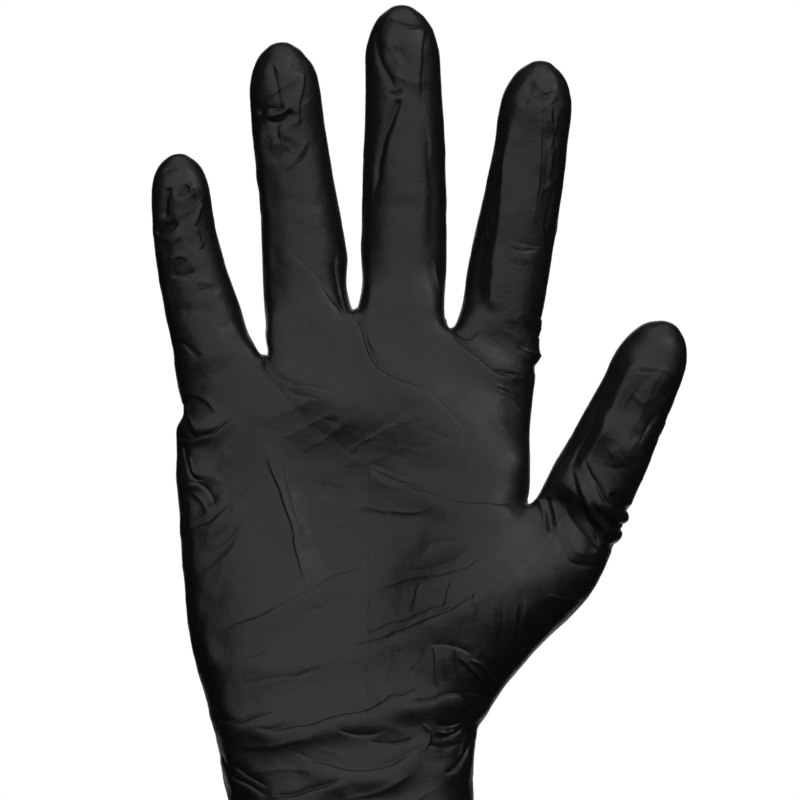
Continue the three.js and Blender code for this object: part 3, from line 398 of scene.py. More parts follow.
THUMB_CREASES = (
    Crease("nail joint 1", TUCK, 0.14, 0.4, ((72.4, 145.6), (76, 145.2), (81, 145.2)), (0.3, 0.3)),
    Crease("nail joint 2", RIDGE, 0.12, 0.5, ((73, 147), (79, 146.4), (85, 144.6)), (0.3, 0)),
    Crease("side ridge 1", LAP, 0.32, 0.65, ((79.2, 130.6), (80.6, 135), (82.4, 139)), (0.1, 0.2)),
    Crease("side ridge 2", LAP, 0.32, 0.65, ((76, 121.6), (76.6, 126.6), (78.8, 130.4)), (0.15, 0.2)),
    Crease("side ridge 3", GROOVE, 0.39, 0.51, ((78.8, 134), (76.4, 129.6), (74.4, 126.4))),
    Crease("cross 1", GROOVE, 0.14, 0.6, ((66.2, 121.4), (69.4, 120.2), (73, 120.8))),
    Crease("cross 2", GROOVE, 0.16, 0.6, ((68.2, 128.2), (70, 124.8), (72.6, 121))),
    Crease("cross 3", RIDGE, 0.16, 0.6, ((66, 126.6), (68.6, 123.4), (69.4, 119.4))),
    Crease("root fold 1", GROOVE, 0.75, 0.7,
           ((57.5, 121), (58.2, 115.5), (59.8, 110.3), (62.4, 105.1), (66.4, 100.4)), (0.2, 0.12)),
    Crease("root fold 1, crest", RIDGE, 0.5, 0.75,
           ((58.9, 119.6), (60, 114.6), (61.9, 110.3), (65, 104.8), (68.6, 101))),
    Crease("root fold 2", GROOVE, 0.75, 0.7,
           ((55.3, 114), (56.4, 108.4), (60, 103.4), (65, 98.6)), (0.2, 0.12)),
    Crease("root fold 3", GROOVE, 0.65, 0.6,
           ((60.7, 123.3), (63.3, 117.3), (65.4, 113), (68.4, 110)), (0.25, 0.2)),
    Crease("root fold 3, crest", TUCK, 0.95, 0.55,
           ((67.2, 114), (68, 112), (69.4, 110), (72.4, 108.8)), (0.2, 0)),
    Crease("root fold 4", GROOVE, 0.55, 0.6,
           ((62.8, 112.4), (64.6, 108.4), (67.6, 105.8), (71, 105.4)), (0.3, 0)),
    Crease("root fold 5", TUCK, 0.85, 0.55,
           ((63.8, 110.4), (65.8, 107), (68.6, 104.4), (71.4, 103.4)), (0.3, 0)),
    Crease("root fold 6", GROOVE, 0.35, 0.68,
           ((53.8, 103.6), (55.6, 97.6), (60, 95), (66.4, 95)), (0.2, 0.1)),
    Crease("root fold 7", RIDGE, 0.31, 0.76, ((56.4, 104), (58.6, 99), (63, 97.4))),
    Crease("root line", RIDGE, 0.27, 0.51, ((50.8, 87.6), (55, 86.4), (60.8, 86)), (0.2, 0.1)),
    Crease("web crumple 1", RIDGE, 0.55, 0.6, ((49, 112.6), (50.4, 107.6), (51.4, 101.4)), (0.1, 0.3)),
    Crease("web crumple 2", GROOVE, 0.7, 0.7, ((50.6, 113), (52.2, 107.6), (52.8, 102)), (0.1, 0.3)),
    Crease("web crumple 3", RIDGE, 0.53, 0.51, ((52.4, 111.6), (53.8, 107.2), (54.2, 103.4)), (0.1, 0.3)),
    Crease("web crumple 4", GROOVE, 0.53, 0.51, ((54, 113.6), (55.2, 109), (55.4, 105))),
    Crease("inner edge fold", RIDGE, 0.43, 0.68, ((55.6, 118), (59.4, 126.4), (63.6, 134)), (0.3, 0.3)),
    Crease("upright 1", GROOVE, 0.22, 0.59, ((70, 141), (67.4, 134), (66.8, 128))),
    Crease("upright 2", LAP, 0.16, 0.7, ((70.4, 131), (72, 137), (75, 142))),
    Crease("palm side corner", RIDGE, 1.15, 2.4,
           ((59.6, 118), (62.4, 124), (66.4, 131.4), (69.4, 139), (73, 145.6), (76.4, 150)), (0.12, 0.15)),
    Crease("palm side hollow", GROOVE, 0.75, 2,
           ((57, 119.6), (60, 126.6), (63.4, 134), (66.8, 141.4), (70.6, 148)), (0.12, 0.15)),
)

BACK_CREASES = (
    Crease("wrist 1", GROOVE, 0.35, 1, ((-24, 56), (-8, 53), (10, 54), (26, 58)), side=Side.BACK),
    Crease("wrist 2", RIDGE, 0.35, 1.3, ((-28, 51), (-10, 48.6), (8, 49.6), (24, 53)), side=Side.BACK),
    Crease("wrist 3", GROOVE, 0.28, 1.1, ((-20, 43), (-2, 40.6), (18, 43.6)), side=Side.BACK),
    Crease("wrist 4", RIDGE, 0.24, 1.4, ((-12, 35), (6, 33), (26, 37)), side=Side.BACK),
    Crease("wrist 5", GROOVE, 0.21, 1, ((8, 66), (22, 63), (36, 66)), side=Side.BACK),
    Crease("wrist 6", RIDGE, 0.18, 1.2, ((-30, 66), (-16, 63), (0, 64)), side=Side.BACK),
    Crease("hand 1", GROOVE, 0.18, 1.2, ((-26, 118), (-12, 104), (4, 84), (12, 70)), side=Side.BACK),
    Crease("hand 2", RIDGE, 0.18, 1.5, ((4, 126), (10, 108), (16, 88)), side=Side.BACK),
    Crease("hand 3", GROOVE, 0.18, 1.3, ((34, 122), (30, 104), (28, 86)), side=Side.BACK),
    Crease("thumb web 1", RIDGE, 0.32, 1.1, ((40, 120), (50, 104), (64, 94)), side=Side.BACK),
    Crease("thumb web 2", GROOVE, 0.28, 1, ((42, 110), (52, 98), (62, 89)), side=Side.BACK),
    Crease("thumb web 3", GROOVE, 0.24, 1, ((58, 118), (66, 108), (72, 102)), side=Side.BACK),
)

ALL_CREASES = (
    FINGER_ROOT_CREASES + PALM_CREASES + THUMB_BALL_CREASES + WRIST_CREASES + LITTLE_EDGE_CREASES
    + MIDDLE_FINGER_CREASES + RING_FINGER_CREASES + INDEX_FINGER_CREASES + LITTLE_FINGER_CREASES
    + THUMB_CREASES + BACK_CREASES
)

SWELLS = (
    Swell("middle tip dimple", -0.8, (15.6, 236.9), (3.4, 1.5), -6),
    Swell("index tip dimple", -0.6, (50.6, 221.4), (3, 1.9), 8),
    Swell("ring tip dimple", -0.5, (-13.2, 226), (2.6, 1.6), 30),
    Swell("little tip dimple", -0.35, (-46.8, 198), (1.8, 0.9), 20),
    Swell("thumb tip hollow", -0.5, (80, 148.6), (4.5, 3), -20),
    Swell("middle pad", -0.35, (13.8, 226.5), (2.6, 4.2), -15),
    Swell("index pad", -0.3, (45, 200), (3, 9), -8),
    Swell("pocket floor", -0.8, (-43.4, 133.6), (1.7, 3)),
    Swell("edge dent", -0.5, (-40.6, 114), (1.6, 2.4)),
    Swell("index edge bump", 0.7, (49.6, 149.4), (2.4, 1.8)),
    Swell("index edge dent", -0.5, (49, 146), (2.4, 1.2)),
    Swell("ring edge bump", 0.6, (-23.2, 154), (2, 2.2)),
    Swell("thumb edge bump 1", 0.8, (72.6, 106.6), (2.4, 1.6)),
    Swell("thumb edge dent 1", -0.7, (73, 109.2), (2.4, 1)),
    Swell("thumb edge bump 2", 0.6, (69.6, 102.4), (2.4, 1.5)),
    Swell("thumb edge dent 2", -0.6, (69.4, 99.8), (2.4, 1)),
    Swell("wrist thumb side bump", 0.7, (33.4, 57), (2.4, 2)),
    Swell("wrist thumb side dent", -0.5, (32.6, 52.8), (2.4, 1.4)),
)

CRUMPLES = (
    Crumple("palm middle", 0.31, 5.5, 5, -8, (14, 106), (26, 16)),
    Crumple("palm upper", 0.21, 5, 4, 25, (8, 132), (34, 12)),
    Crumple("heel", 0.24, 6, 5, 22, (-16, 76), (22, 16)),
    Crumple("little edge", 0.33, 4.6, 3, 52, (-36, 108), (10, 22)),
    Crumple("ball of thumb", 0.29, 4.4, 4, 84, (34, 78), (14, 16)),
    Crumple("wrist", 0.34, 5.5, 5, 9, (0, 48), (36, 13)),
    Crumple("wrist thumb side", 0.3, 3.4, 2.4, 20, (27, 52), (7, 9)),
    Crumple("cuff", 0.26, 9, 3, 10, (0, 20), (40, 16)),
    Crumple("thumb root", 0.34, 3.8, 4, -62, (64, 108), (11, 12)),
    Crumple("thumb side", 0.36, 3.6, 2.6, 60, (80, 132), (7, 14)),
    Crumple("thumb pad", 0.29, 4, 2.5, 50, (72, 134), (9, 14)),
    Crumple("index thumb side", 0.31, 3.4, 3.4, 78, (53, 198), (4.6, 24)),
    Crumple("index root", 0.26, 3.2, 3, -22, (46, 152), (9, 11)),
    Crumple("index tip", 0.2, 2.8, 2, 40, (50, 219), (8, 8)),
    Crumple("middle tip", 0.29, 3.2, 2.4, 75, (14, 226), (10, 12)),
    Crumple("middle thumb side", 0.17, 3.4, 4, 88, (21, 206), (4, 22)),
    Crumple("ring tip", 0.29, 3.2, 2, 30, (-17, 214), (8, 14)),
    Crumple("little tip", 0.21, 3.2, 2, 40, (-44, 184), (8, 16)),
    Crumple("little root", 0.21, 3.4, 2.6, -35, (-40, 154), (9, 10)),
    Crumple("back of hand", 0.27, 9, 3.5, 62, (4, 106), (44, 34), Side.BACK),
    Crumple("back of wrist", 0.36, 6.5, 5, 3, (0, 48), (38, 14), Side.BACK),
    Crumple("back of cuff", 0.31, 9, 3, -6, (0, 20), (40, 16), Side.BACK),
    Crumple("back of thumb", 0.29, 4.4, 3, -55, (66, 112), (14, 18), Side.BACK),
    Crumple("back of little joint", 0.24, 2.6, 4, 8, (-43, 177), (12, 5.5), Side.BACK),
    Crumple("back of ring joint", 0.24, 2.8, 4, 8, (-12, 187), (14, 6), Side.BACK),
    Crumple("back of middle joint", 0.24, 2.8, 4, 0, (13, 190), (14, 6), Side.BACK),
    Crumple("back of index joint", 0.24, 2.8, 4, -12, (43, 182), (14, 6), Side.BACK),
    Crumple("back of thumb joint", 0.24, 2.8, 4, -26, (74, 131), (14, 6), Side.BACK),
)


def smoothstep(values: Array, low: float, high: float) -> Array:
    """A smooth ramp from 0 at low to 1 at high."""
    share = np.clip((values - low) / (high - low), 0, 1)
    return share * share * (3 - 2 * share)


def crest(values: Array) -> Array:
    """A narrow crest that is 1 at 0 and falls off along two hollow flanks."""
    return np.exp(0.5 - np.sqrt(2 * values * values + 0.25))


def flank(values: Array) -> Array:
    """The film beside a crease: it starts as a step at the middle line and dies out over some widths."""
    half_step, length = 0.6, 3
    return smoothstep(values, -half_step, half_step) * np.exp(-np.maximum(0, values) / length)


def lattice_noise(points: Array, seed: int) -> Array:
    """Smooth noise with a lattice of one unit.

    Args:
        points: Rows of two or three coordinates, in lattice units.
        seed: Picks the noise.

    Returns:
        One value from -1 to 1 for each point.
    """
    cells = 32
    values = np.random.default_rng(seed).uniform(-1, 1, (cells,) * points.shape[1])
    low = np.floor(points).astype(int)
    share = points - low
    share = share * share * share * (share * (6 * share - 15) + 10)
    total = np.zeros(len(points))
    for corner in np.ndindex(*(2,) * points.shape[1]):
        weight = np.prod(np.where(corner, share, 1 - share), axis=1)
        total += weight * values[tuple(((low + corner) % cells).T)]
    return total


def smooth_route(places: tuple[Place, ...], steps: int = 7) -> Array:
    """A smooth line through all places of a route.

    Args:
        places: The places, in their order.
        steps: Points on each stretch between two places.

    Returns:
        Points on the line, one row each.
    """
    points = np.array([places[0], *places, places[-1]], float)
    share = np.linspace(0, 1, steps, endpoint=False)[:, None]
    stretches = []
    for before, start, end, after in zip(points, points[1:], points[2:], points[3:]):
        square, cube = share**2, share**3
        stretches.append(0.5 * (2 * start + (end - before) * share
                                + (2 * before - 5 * start + 4 * end - after) * square
                                + (3 * start - before - 3 * end + after) * cube))
    return np.concatenate([*stretches, points[-1:]])


def nearest_on_route(places: Array, route: Array) -> tuple[Array, Array]:
    """Where places lie beside a route.

    Args:
        places: Rows [x, z].
        route: Points of the route, one row each.

    Returns:
        Distances, above zero to the left of the route, and shares of its length at the nearest point.
    """
    runs = np.diff(route, axis=0)
    lengths = np.hypot(*runs.T)
    travelled = np.concatenate([[0], np.cumsum(lengths)])
    nearest = np.full(len(places), np.inf)
    signed, share = np.zeros(len(places)), np.zeros(len(places))
    for start, run, length, before in zip(route, runs, lengths, travelled):
        offset = places - start
        along = np.clip(offset @ run / length**2, 0, 1)
        away = np.hypot(*(offset - along[:, None] * run).T)
        nearer = away < nearest
        left = np.where(run[0] * offset[:, 1] >= run[1] * offset[:, 0], 1, -1)
        nearest[nearer] = away[nearer]
        signed[nearer] = (away * left)[nearer]
        share[nearer] = (before + along * length)[nearer] / travelled[-1]
    return signed, share


@dataclass
class Relief:
    """Heights that creases, swells and crumples give to the film's outer skin.

    Args:
        points: Places of the skin's points in mm on the nominal glove, one row each.
        normals: Outward directions at those points.
        wobble: How far, in mm, the creases stray from their routes.
        wobble_size: Distance in mm over which they stray to and fro.
        turned: How far towards a side the film faces where its creases start, and where they are whole.
        reach: Widths of a crease over which it dies out.
        unevenness: Share of its height by which a crease changes along its route.
        unevenness_size: Distance in mm over which it changes.
    """

    points: Array
    normals: Array
    wobble: float = 0.45
    wobble_size: float = 5.0
    turned: tuple[float, float] = (-0.45, 0.05)
    reach: float = 14.0
    unevenness: float = 0.25
    unevenness_size: float = 6.0
    heights: Array = field(init=False)
    facing: dict[Side, Array] = field(init=False)
    places: Array = field(init=False)

    def __post_init__(self) -> None:
        """Starts with a flat relief and works out which side each point is on."""
        self.heights = np.zeros(len(self.points))
        self.facing = {side: smoothstep(side.value * self.normals[:, 1], *self.turned) for side in Side}
        stray = [lattice_noise(self.points / self.wobble_size, seed) for seed in (1, 2)]
        self.places = self.points[:, [0, 2]] + self.wobble * np.stack(stray, axis=1)

    def near(self, low: Array, high: Array, margin: float, side: Side) -> Array:
        """Indices of the points on a side that lie in a box around a form.

        Args:
            low: Lowest corner of the form, [x, z].
            high: Its highest corner.
            margin: How much larger the box is on each side, in mm.
            side: The side of the hand.

        Returns:
            Indices into the relief's points.
        """
        inside = np.all((self.places > low - margin) & (self.places < high + margin), axis=1)
        return np.flatnonzero(inside & (self.facing[side] > 0))

    def add_crease(self, crease: Crease) -> None:
        """Presses one crease into the relief.

        Args:
            crease: The crease.
        """
        route = smooth_route(crease.route)
        margin = self.reach * crease.wide
        found = self.near(route.min(axis=0), route.max(axis=0), margin, crease.side)
        away, share = nearest_on_route(self.places[found], route)
        away /= crease.wide
        middle, left, right = crease.profile.value
        section = middle * crest(away) + left * flank(away) + right * flank(-away)
        start, end = crease.fade
        strength = np.ones(len(found))
        if start:
            strength *= smoothstep(share, 0, start)
        if end:
            strength *= smoothstep(1 - share, 0, end)
        strength *= 1 + self.unevenness * lattice_noise(self.points[found] / self.unevenness_size, seed=3)
        self.heights[found] += crease.high * strength * section * self.facing[crease.side][found]

    def along(self, crease: Crease, reach: float) -> Array:
        """Finds the points beside a crease.

        Args:
            crease: The crease.
            reach: Largest distance from it in mm.

        Returns:
            Indices into the relief's points.
        """
        route = smooth_route(crease.route)
        found = self.near(route.min(axis=0), route.max(axis=0), reach, crease.side)
        away, _ = nearest_on_route(self.places[found], route)
        return found[np.abs(away) < reach]

    def add_swell(self, swell: Swell) -> None:
        """Raises one swell, or sinks one dimple.

        Args:
            swell: The swell or dimple.
        """
        centre, margin = np.array(swell.centre), 3 * max(swell.reach)
        found = self.near(centre, centre, margin, swell.side)
        turn = math.radians(swell.turn)
        across, up = (self.places[found] - centre).T
        along = (across * math.cos(turn) + up * math.sin(turn)) / swell.reach[0]
        aside = (up * math.cos(turn) - across * math.sin(turn)) / swell.reach[1]
        form = np.exp(-(along**2 + aside**2))
        self.heights[found] += swell.high * form * self.facing[swell.side][found]

    def add_crumple(self, crumple: Crumple, seed: int) -> None:
        """Lays one patch of fine wrinkles over the relief: thin crests on soft waves.

        Args:
            crumple: The patch.
            seed: Picks the noise.
        """
        crest_slope, crest_power, patch_power = 3.2, 1.5, 1.5
        crest_share, wave_share, finer_share = 0.7, 0.6, 0.25
        finer_along, finer_aside, finer_seed = 2, 1.6, seed + 100
        centre, reach = np.array(crumple.centre), np.array(crumple.reach)
        found = self.near(centre - reach, centre + reach, max(crumple.reach), crumple.side)
        offset = self.places[found] - centre
        patch = np.exp(-(((offset / reach) ** 2).sum(axis=1) ** patch_power))
        turn = math.radians(crumple.run)
        along = (offset @ (math.cos(turn), math.sin(turn))) / (crumple.pitch * crumple.slender)
        aside = (offset @ (-math.sin(turn), math.cos(turn))) / crumple.pitch
        depth = self.points[found, 1] / (2 * crumple.pitch)
        noise = lattice_noise(np.stack([along, aside, depth], axis=1), seed)
        finer = np.stack([finer_along * along, finer_aside * aside, depth], axis=1)
        soft = lattice_noise(finer, finer_seed)
        crests = np.maximum(0, 1 - crest_slope * np.abs(noise)) ** crest_power
        waves = crest_share * crests + wave_share * noise + finer_share * soft
        self.heights[found] += crumple.high * waves * patch * self.facing[crumple.side][found]

    def add_slack(self, high: float, size: float, seed: int) -> None:
        """Makes the whole film a little uneven.

        Args:
            high: Height of the unevenness in mm.
            size: Distance of its waves in mm.
            seed: Picks the noise.
        """
        self.heights += high * lattice_noise(self.points / size, seed)

    def add_cuff_waves(self, high: float, top: float, counts: tuple[int, ...]) -> None:
        """Lets the loose cuff wave around its mouth.

        Args:
            high: Height of the waves in mm at the mouth.
            top: Height in mm above the mouth at which they have died out.
            counts: How many waves of each kind run round the cuff.
        """
        angle = np.arctan2(self.points[:, 1], self.points[:, 0])
        loose = 1 - smoothstep(self.points[:, 2], 0, top)
        leaning = 6  # mm up the cuff for each radian by which a wave leans
        for count in counts:
            lean = self.points[:, 2] / (leaning * count)
            shift = count**2
            self.heights += high / len(counts) * loose * np.sin(count * (angle + lean) + shift)


@dataclass
class GloveFilm:
    """The glove's one dipped film: palm, back, fingers, thumb and cuff with its rolled bead.

    Args:
        name: Name of the finished piece.
        levels: Times that each face of the solid is divided.
        merge_reach: Distance in mm at which the solid's loose triangles are merged.
        flat_angle: Angle in degrees up to which two triangles become a four-sided face.
        smooth_rounds: Rounds of smoothing that take the solid's facets away.
        smooth_pulls: Shares by which a round pulls a point to its neighbours and pushes it back.
        bead_height: Height in mm under which the bead's own round form is kept.
        bead_blend: Heights in mm below and above that, where smoothing starts and is whole.
        fine_reach: How far in mm the finer faces reach beside a crease.
        fine_cuts: Cuts across each of their edges.
        slack: Height in mm, distance in mm and seed of each unevenness of the whole film.
        cuff_wave: Height in mm of the waves at the cuff's mouth.
        cuff_wave_top: Height in mm above the mouth at which they have died out.
        cuff_wave_counts: How many waves of each kind run round the cuff.
        deepest: How far in mm creases press the film in at most, so that they stay within its wall.
        highest: How far in mm they raise it at most.
        most_triangles: Triangles of the finished piece.
    """

    name: str = "nitrile_glove"
    levels: int = 3
    merge_reach: float = 0.001
    flat_angle: float = 70.0
    smooth_rounds: int = 26
    smooth_pulls: tuple[float, float] = (0.6, -0.61)
    bead_height: float = 5.5
    bead_blend: tuple[float, float] = (2.0, 4.0)
    fine_reach: float = 1.1
    fine_cuts: int = 2
    slack: tuple[tuple[float, float, int], ...] = ((0.12, 9, 5), (0.08, 3.5, 6))
    cuff_wave: float = 1.2
    cuff_wave_top: float = 44.0
    cuff_wave_counts: tuple[int, ...] = (5, 8)
    deepest: float = 0.95
    highest: float = 2.2
    most_triangles: int = 190_000
    piece: bpy.types.Object = field(init=False)

    @property
    def unit(self) -> float:
        """Metres to one millimetre of the tables."""
        return (CAD_BOX[1][2] - CAD_BOX[0][2]) / NOMINAL_LENGTH

    def build(self) -> bpy.types.Object:
        """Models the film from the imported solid.

        Returns:
            The finished piece.
        """
        self.copy_solid()
        self.mark_outside()
        self.divide()
        self.draw_smooth()
        log.info("rounded the film, %d points", len(self.piece.data.vertices))
        self.divide_along_creases()
        self.crease()
        self.thin_out()
        self.shade()
        return self.piece

    def copy_solid(self) -> None:
        """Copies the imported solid's mesh, with its loose triangles merged into four-sided faces."""
        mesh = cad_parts[NODE].data.copy()
        mesh.materials.clear()
        self.piece = bpy.data.objects.new(self.name, mesh)
        mesh.name = self.name
        bpy.context.scene.collection.objects.link(self.piece)
        only(self.piece)
        bpy.ops.object.mode_set(mode="EDIT")
        bpy.ops.mesh.select_all(action="SELECT")
        bpy.ops.mesh.remove_doubles(threshold=self.merge_reach * MM)
        flat = math.radians(self.flat_angle)
        bpy.ops.mesh.tris_convert_to_quads(face_threshold=flat, shape_threshold=flat)
        bpy.ops.object.mode_set(mode="OBJECT")

    def mark_outside(self) -> None:
        """Marks the outer skin, down to the bead's lowest ring, with an attribute."""
        lowest_ring = 0.01 * MM
        mesh = self.piece.data
        heights = positions(mesh)[:, 2]
        edges = edge_ends(mesh)
        reached = np.zeros(len(heights), bool)
        reached[np.argmax(heights)] = True
        open_to = heights > lowest_ring
        while True:
            touched = reached[edges].any(axis=1) & open_to[edges].all(axis=1)
            spread = reached.copy()
            spread[edges[touched].ravel()] = True
            if (spread == reached).all():
                break
            reached = spread
        mark = mesh.attributes.new("outside", "FLOAT", "POINT")
        mark.data.foreach_set("value", reached.astype(np.float32))

    def divide(self) -> None:
        """Divides the mesh into a fine round skin that stays close to the solid's points."""
        mesh = self.piece.data
        coarse = positions(mesh)
        modifier = self.piece.modifiers.new("round", "SUBSURF")
        modifier.levels = modifier.render_levels = 1
        evaluated = self.piece.evaluated_get(bpy.context.evaluated_depsgraph_get())
        rounded = positions(evaluated.data)[: len(coarse)]
        set_positions(mesh, coarse + (coarse - rounded))
        modifier.levels = modifier.render_levels = self.levels
        only(self.piece)
        bpy.ops.object.modifier_apply(modifier=modifier.name)

    def outside_weights(self) -> Array:
        """Reads how much each point belongs to the outer skin.

        Returns:
            One share from 0 to 1 for each point.
        """
        edge = 0.2
        weights = np.empty(len(self.piece.data.vertices), np.float32)
        self.piece.data.attributes["outside"].data.foreach_get("value", weights)
        return smoothstep(weights.astype(float), edge, 1)

    def draw_smooth(self) -> None:
        """Takes the solid's facets off the outer skin without shrinking it."""
        mesh = self.piece.data
        outside = self.outside_weights()
        points = positions(mesh)
        first, second = edge_ends(mesh).T
        count = np.bincount(first, minlength=len(points)) + np.bincount(second, minlength=len(points))
        below, above = self.bead_blend
        free = outside * smoothstep(points[:, 2] / MM, self.bead_height - below, self.bead_height + above)
        for pull in self.smooth_pulls * self.smooth_rounds:
            mean = np.empty_like(points)
            for axis in range(3):
                sums = np.bincount(first, points[second, axis], len(points))
                sums += np.bincount(second, points[first, axis], len(points))
                mean[:, axis] = sums / count
            points += pull * free[:, None] * (mean - points)
        set_positions(mesh, points)

    def divide_along_creases(self) -> None:
        """Divides the outer skin's faces beside each crease further, so that it comes out crisp."""
        half_outside = 0.5
        mesh = self.piece.data
        relief = Relief(positions(mesh) / self.unit, normals(mesh))
        fine = np.zeros(len(mesh.vertices), bool)
        for row in ALL_CREASES:
            fine[relief.along(row, self.fine_reach)] = True
        fine &= self.outside_weights() > half_outside
        only(self.piece)
        bpy.context.tool_settings.mesh_select_mode = (True, False, False)
        bpy.ops.object.mode_set(mode="EDIT")
        bpy.ops.mesh.select_all(action="DESELECT")
        bpy.ops.object.mode_set(mode="OBJECT")
        mesh.vertices.foreach_set("select", fine)
        bpy.ops.object.mode_set(mode="EDIT")
        bpy.ops.mesh.subdivide(number_cuts=self.fine_cuts)
        bpy.ops.object.mode_set(mode="OBJECT")
        log.info("divided the faces along the creases, %d points now", len(mesh.vertices))

    def crease(self) -> None:
        """Presses the film's creases and wrinkles into the outer skin."""
        mesh = self.piece.data
        points, outside, unit = positions(mesh), self.outside_weights(), self.unit
        relief = Relief(points / unit, normals(mesh))
        for row in ALL_CREASES:
            relief.add_crease(row)
        for row in SWELLS:
            relief.add_swell(row)
        for seed, row in enumerate(CRUMPLES, start=10):
            relief.add_crumple(row, seed)
        for high, size, seed in self.slack:
            relief.add_slack(high, size, seed)
        relief.add_cuff_waves(self.cuff_wave, self.cuff_wave_top, self.cuff_wave_counts)
        pressed = self.deepest * np.tanh(relief.heights / self.deepest)
        heights = np.where(relief.heights < 0, pressed, relief.heights)
        lift = np.minimum(heights, self.highest) * unit * outside
        set_positions(mesh, points + lift[:, None] * normals(mesh))
        log.info("creased the film, from %.2f to %.2f mm", heights.min(), heights.max())

    def thin_out(self) -> None:
        """Merges triangles where the film is plain, which leaves the fine ones to the creases."""
        mesh = self.piece.data
        mesh.calc_loop_triangles()
        modifier = self.piece.modifiers.new("thin", "DECIMATE")
        modifier.ratio = min(1, self.most_triangles / len(mesh.loop_triangles))
        only(self.piece)
        bpy.ops.object.modifier_apply(modifier=modifier.name)

    def shade(self) -> None:
        """Shades the film smooth, with normals that follow the larger faces beside each crease."""
        only(self.piece)
        bpy.ops.object.shade_smooth()
        modifier = self.piece.modifiers.new("normals", "WEIGHTED_NORMAL")
        modifier.mode = "FACE_AREA"
        bpy.ops.object.modifier_apply(modifier=modifier.name)


def only(piece: bpy.types.Object) -> None:
    """Selects one object and nothing else, and makes it the active one.

    Args:
        piece: The object.
    """
    bpy.ops.object.select_all(action="DESELECT")
    piece.select_set(True)
    bpy.context.view_layer.objects.active = piece


def positions(mesh: bpy.types.Mesh) -> Array:
    """Reads the places of a mesh's points.

    Args:
        mesh: The mesh.

    Returns:
        Places in metres, one row each.
    """
    values = np.empty(3 * len(mesh.vertices), np.float32)
    mesh.vertices.foreach_get("co", values)
    return values.reshape(-1, 3).astype(float)


def set_positions(mesh: bpy.types.Mesh, points: Array) -> None:
    """Moves a mesh's points to new places."""
    mesh.vertices.foreach_set("co", points.astype(np.float32).ravel())
    mesh.update()


def normals(mesh: bpy.types.Mesh) -> Array:
    """Reads the outward directions at a mesh's points.

    Args:
        mesh: The mesh.

    Returns:
        Directions of length 1, one row each.
    """
    values = np.empty(3 * len(mesh.vertices), np.float32)
    mesh.vertex_normals.foreach_get("vector", values)
    return values.reshape(-1, 3).astype(float)


def edge_ends(mesh: bpy.types.Mesh) -> Array:
    """Reads the two ends of each edge of a mesh.

    Args:
        mesh: The mesh.

    Returns:
        Indices of two points, one row for each edge.
    """
    values = np.empty(2 * len(mesh.edges), np.int32)
    mesh.edges.foreach_get("vertices", values)
    return values.reshape(-1, 2)


def linear(colour: str) -> tuple[float, float, float, float]:
    """Turns a colour from sRGB hex to linear values.

    Args:
        colour: Six hex digits after a #.

    Returns:
        Red, green, blue and alpha.
    """
    values = [int(colour[i:i + 2], 16) / 255 for i in (1, 3, 5)]
    red, green, blue = [v / 12.92 if v <= 0.04045 else ((v + 0.055) / 1.055) ** 2.4 for v in values]
    return red, green, blue, 1.0


def add_node(tree: bpy.types.NodeTree, kind: str, settings: dict | None = None,
             **inputs: object) -> bpy.types.Node:
    """Adds a node with its settings and its inputs.

    Args:
        tree: The node tree.
        kind: The node's type.
        settings: The node's own settings.
        inputs: A value or an output to link for each input, with _ for a space in its name, or its number
            after a single _.

    Returns:
        The node.
    """
    node = tree.nodes.new(kind)
    for key, value in (settings or {}).items():
        setattr(node, key, value)
    for key, value in inputs.items():
        place = int(key[1:]) if key[0] == "_" else key.replace("_", " ")
        if isinstance(value, bpy.types.NodeSocket):
            tree.links.new(value, node.inputs[place])
        else:
            node.inputs[place].default_value = value
    return node


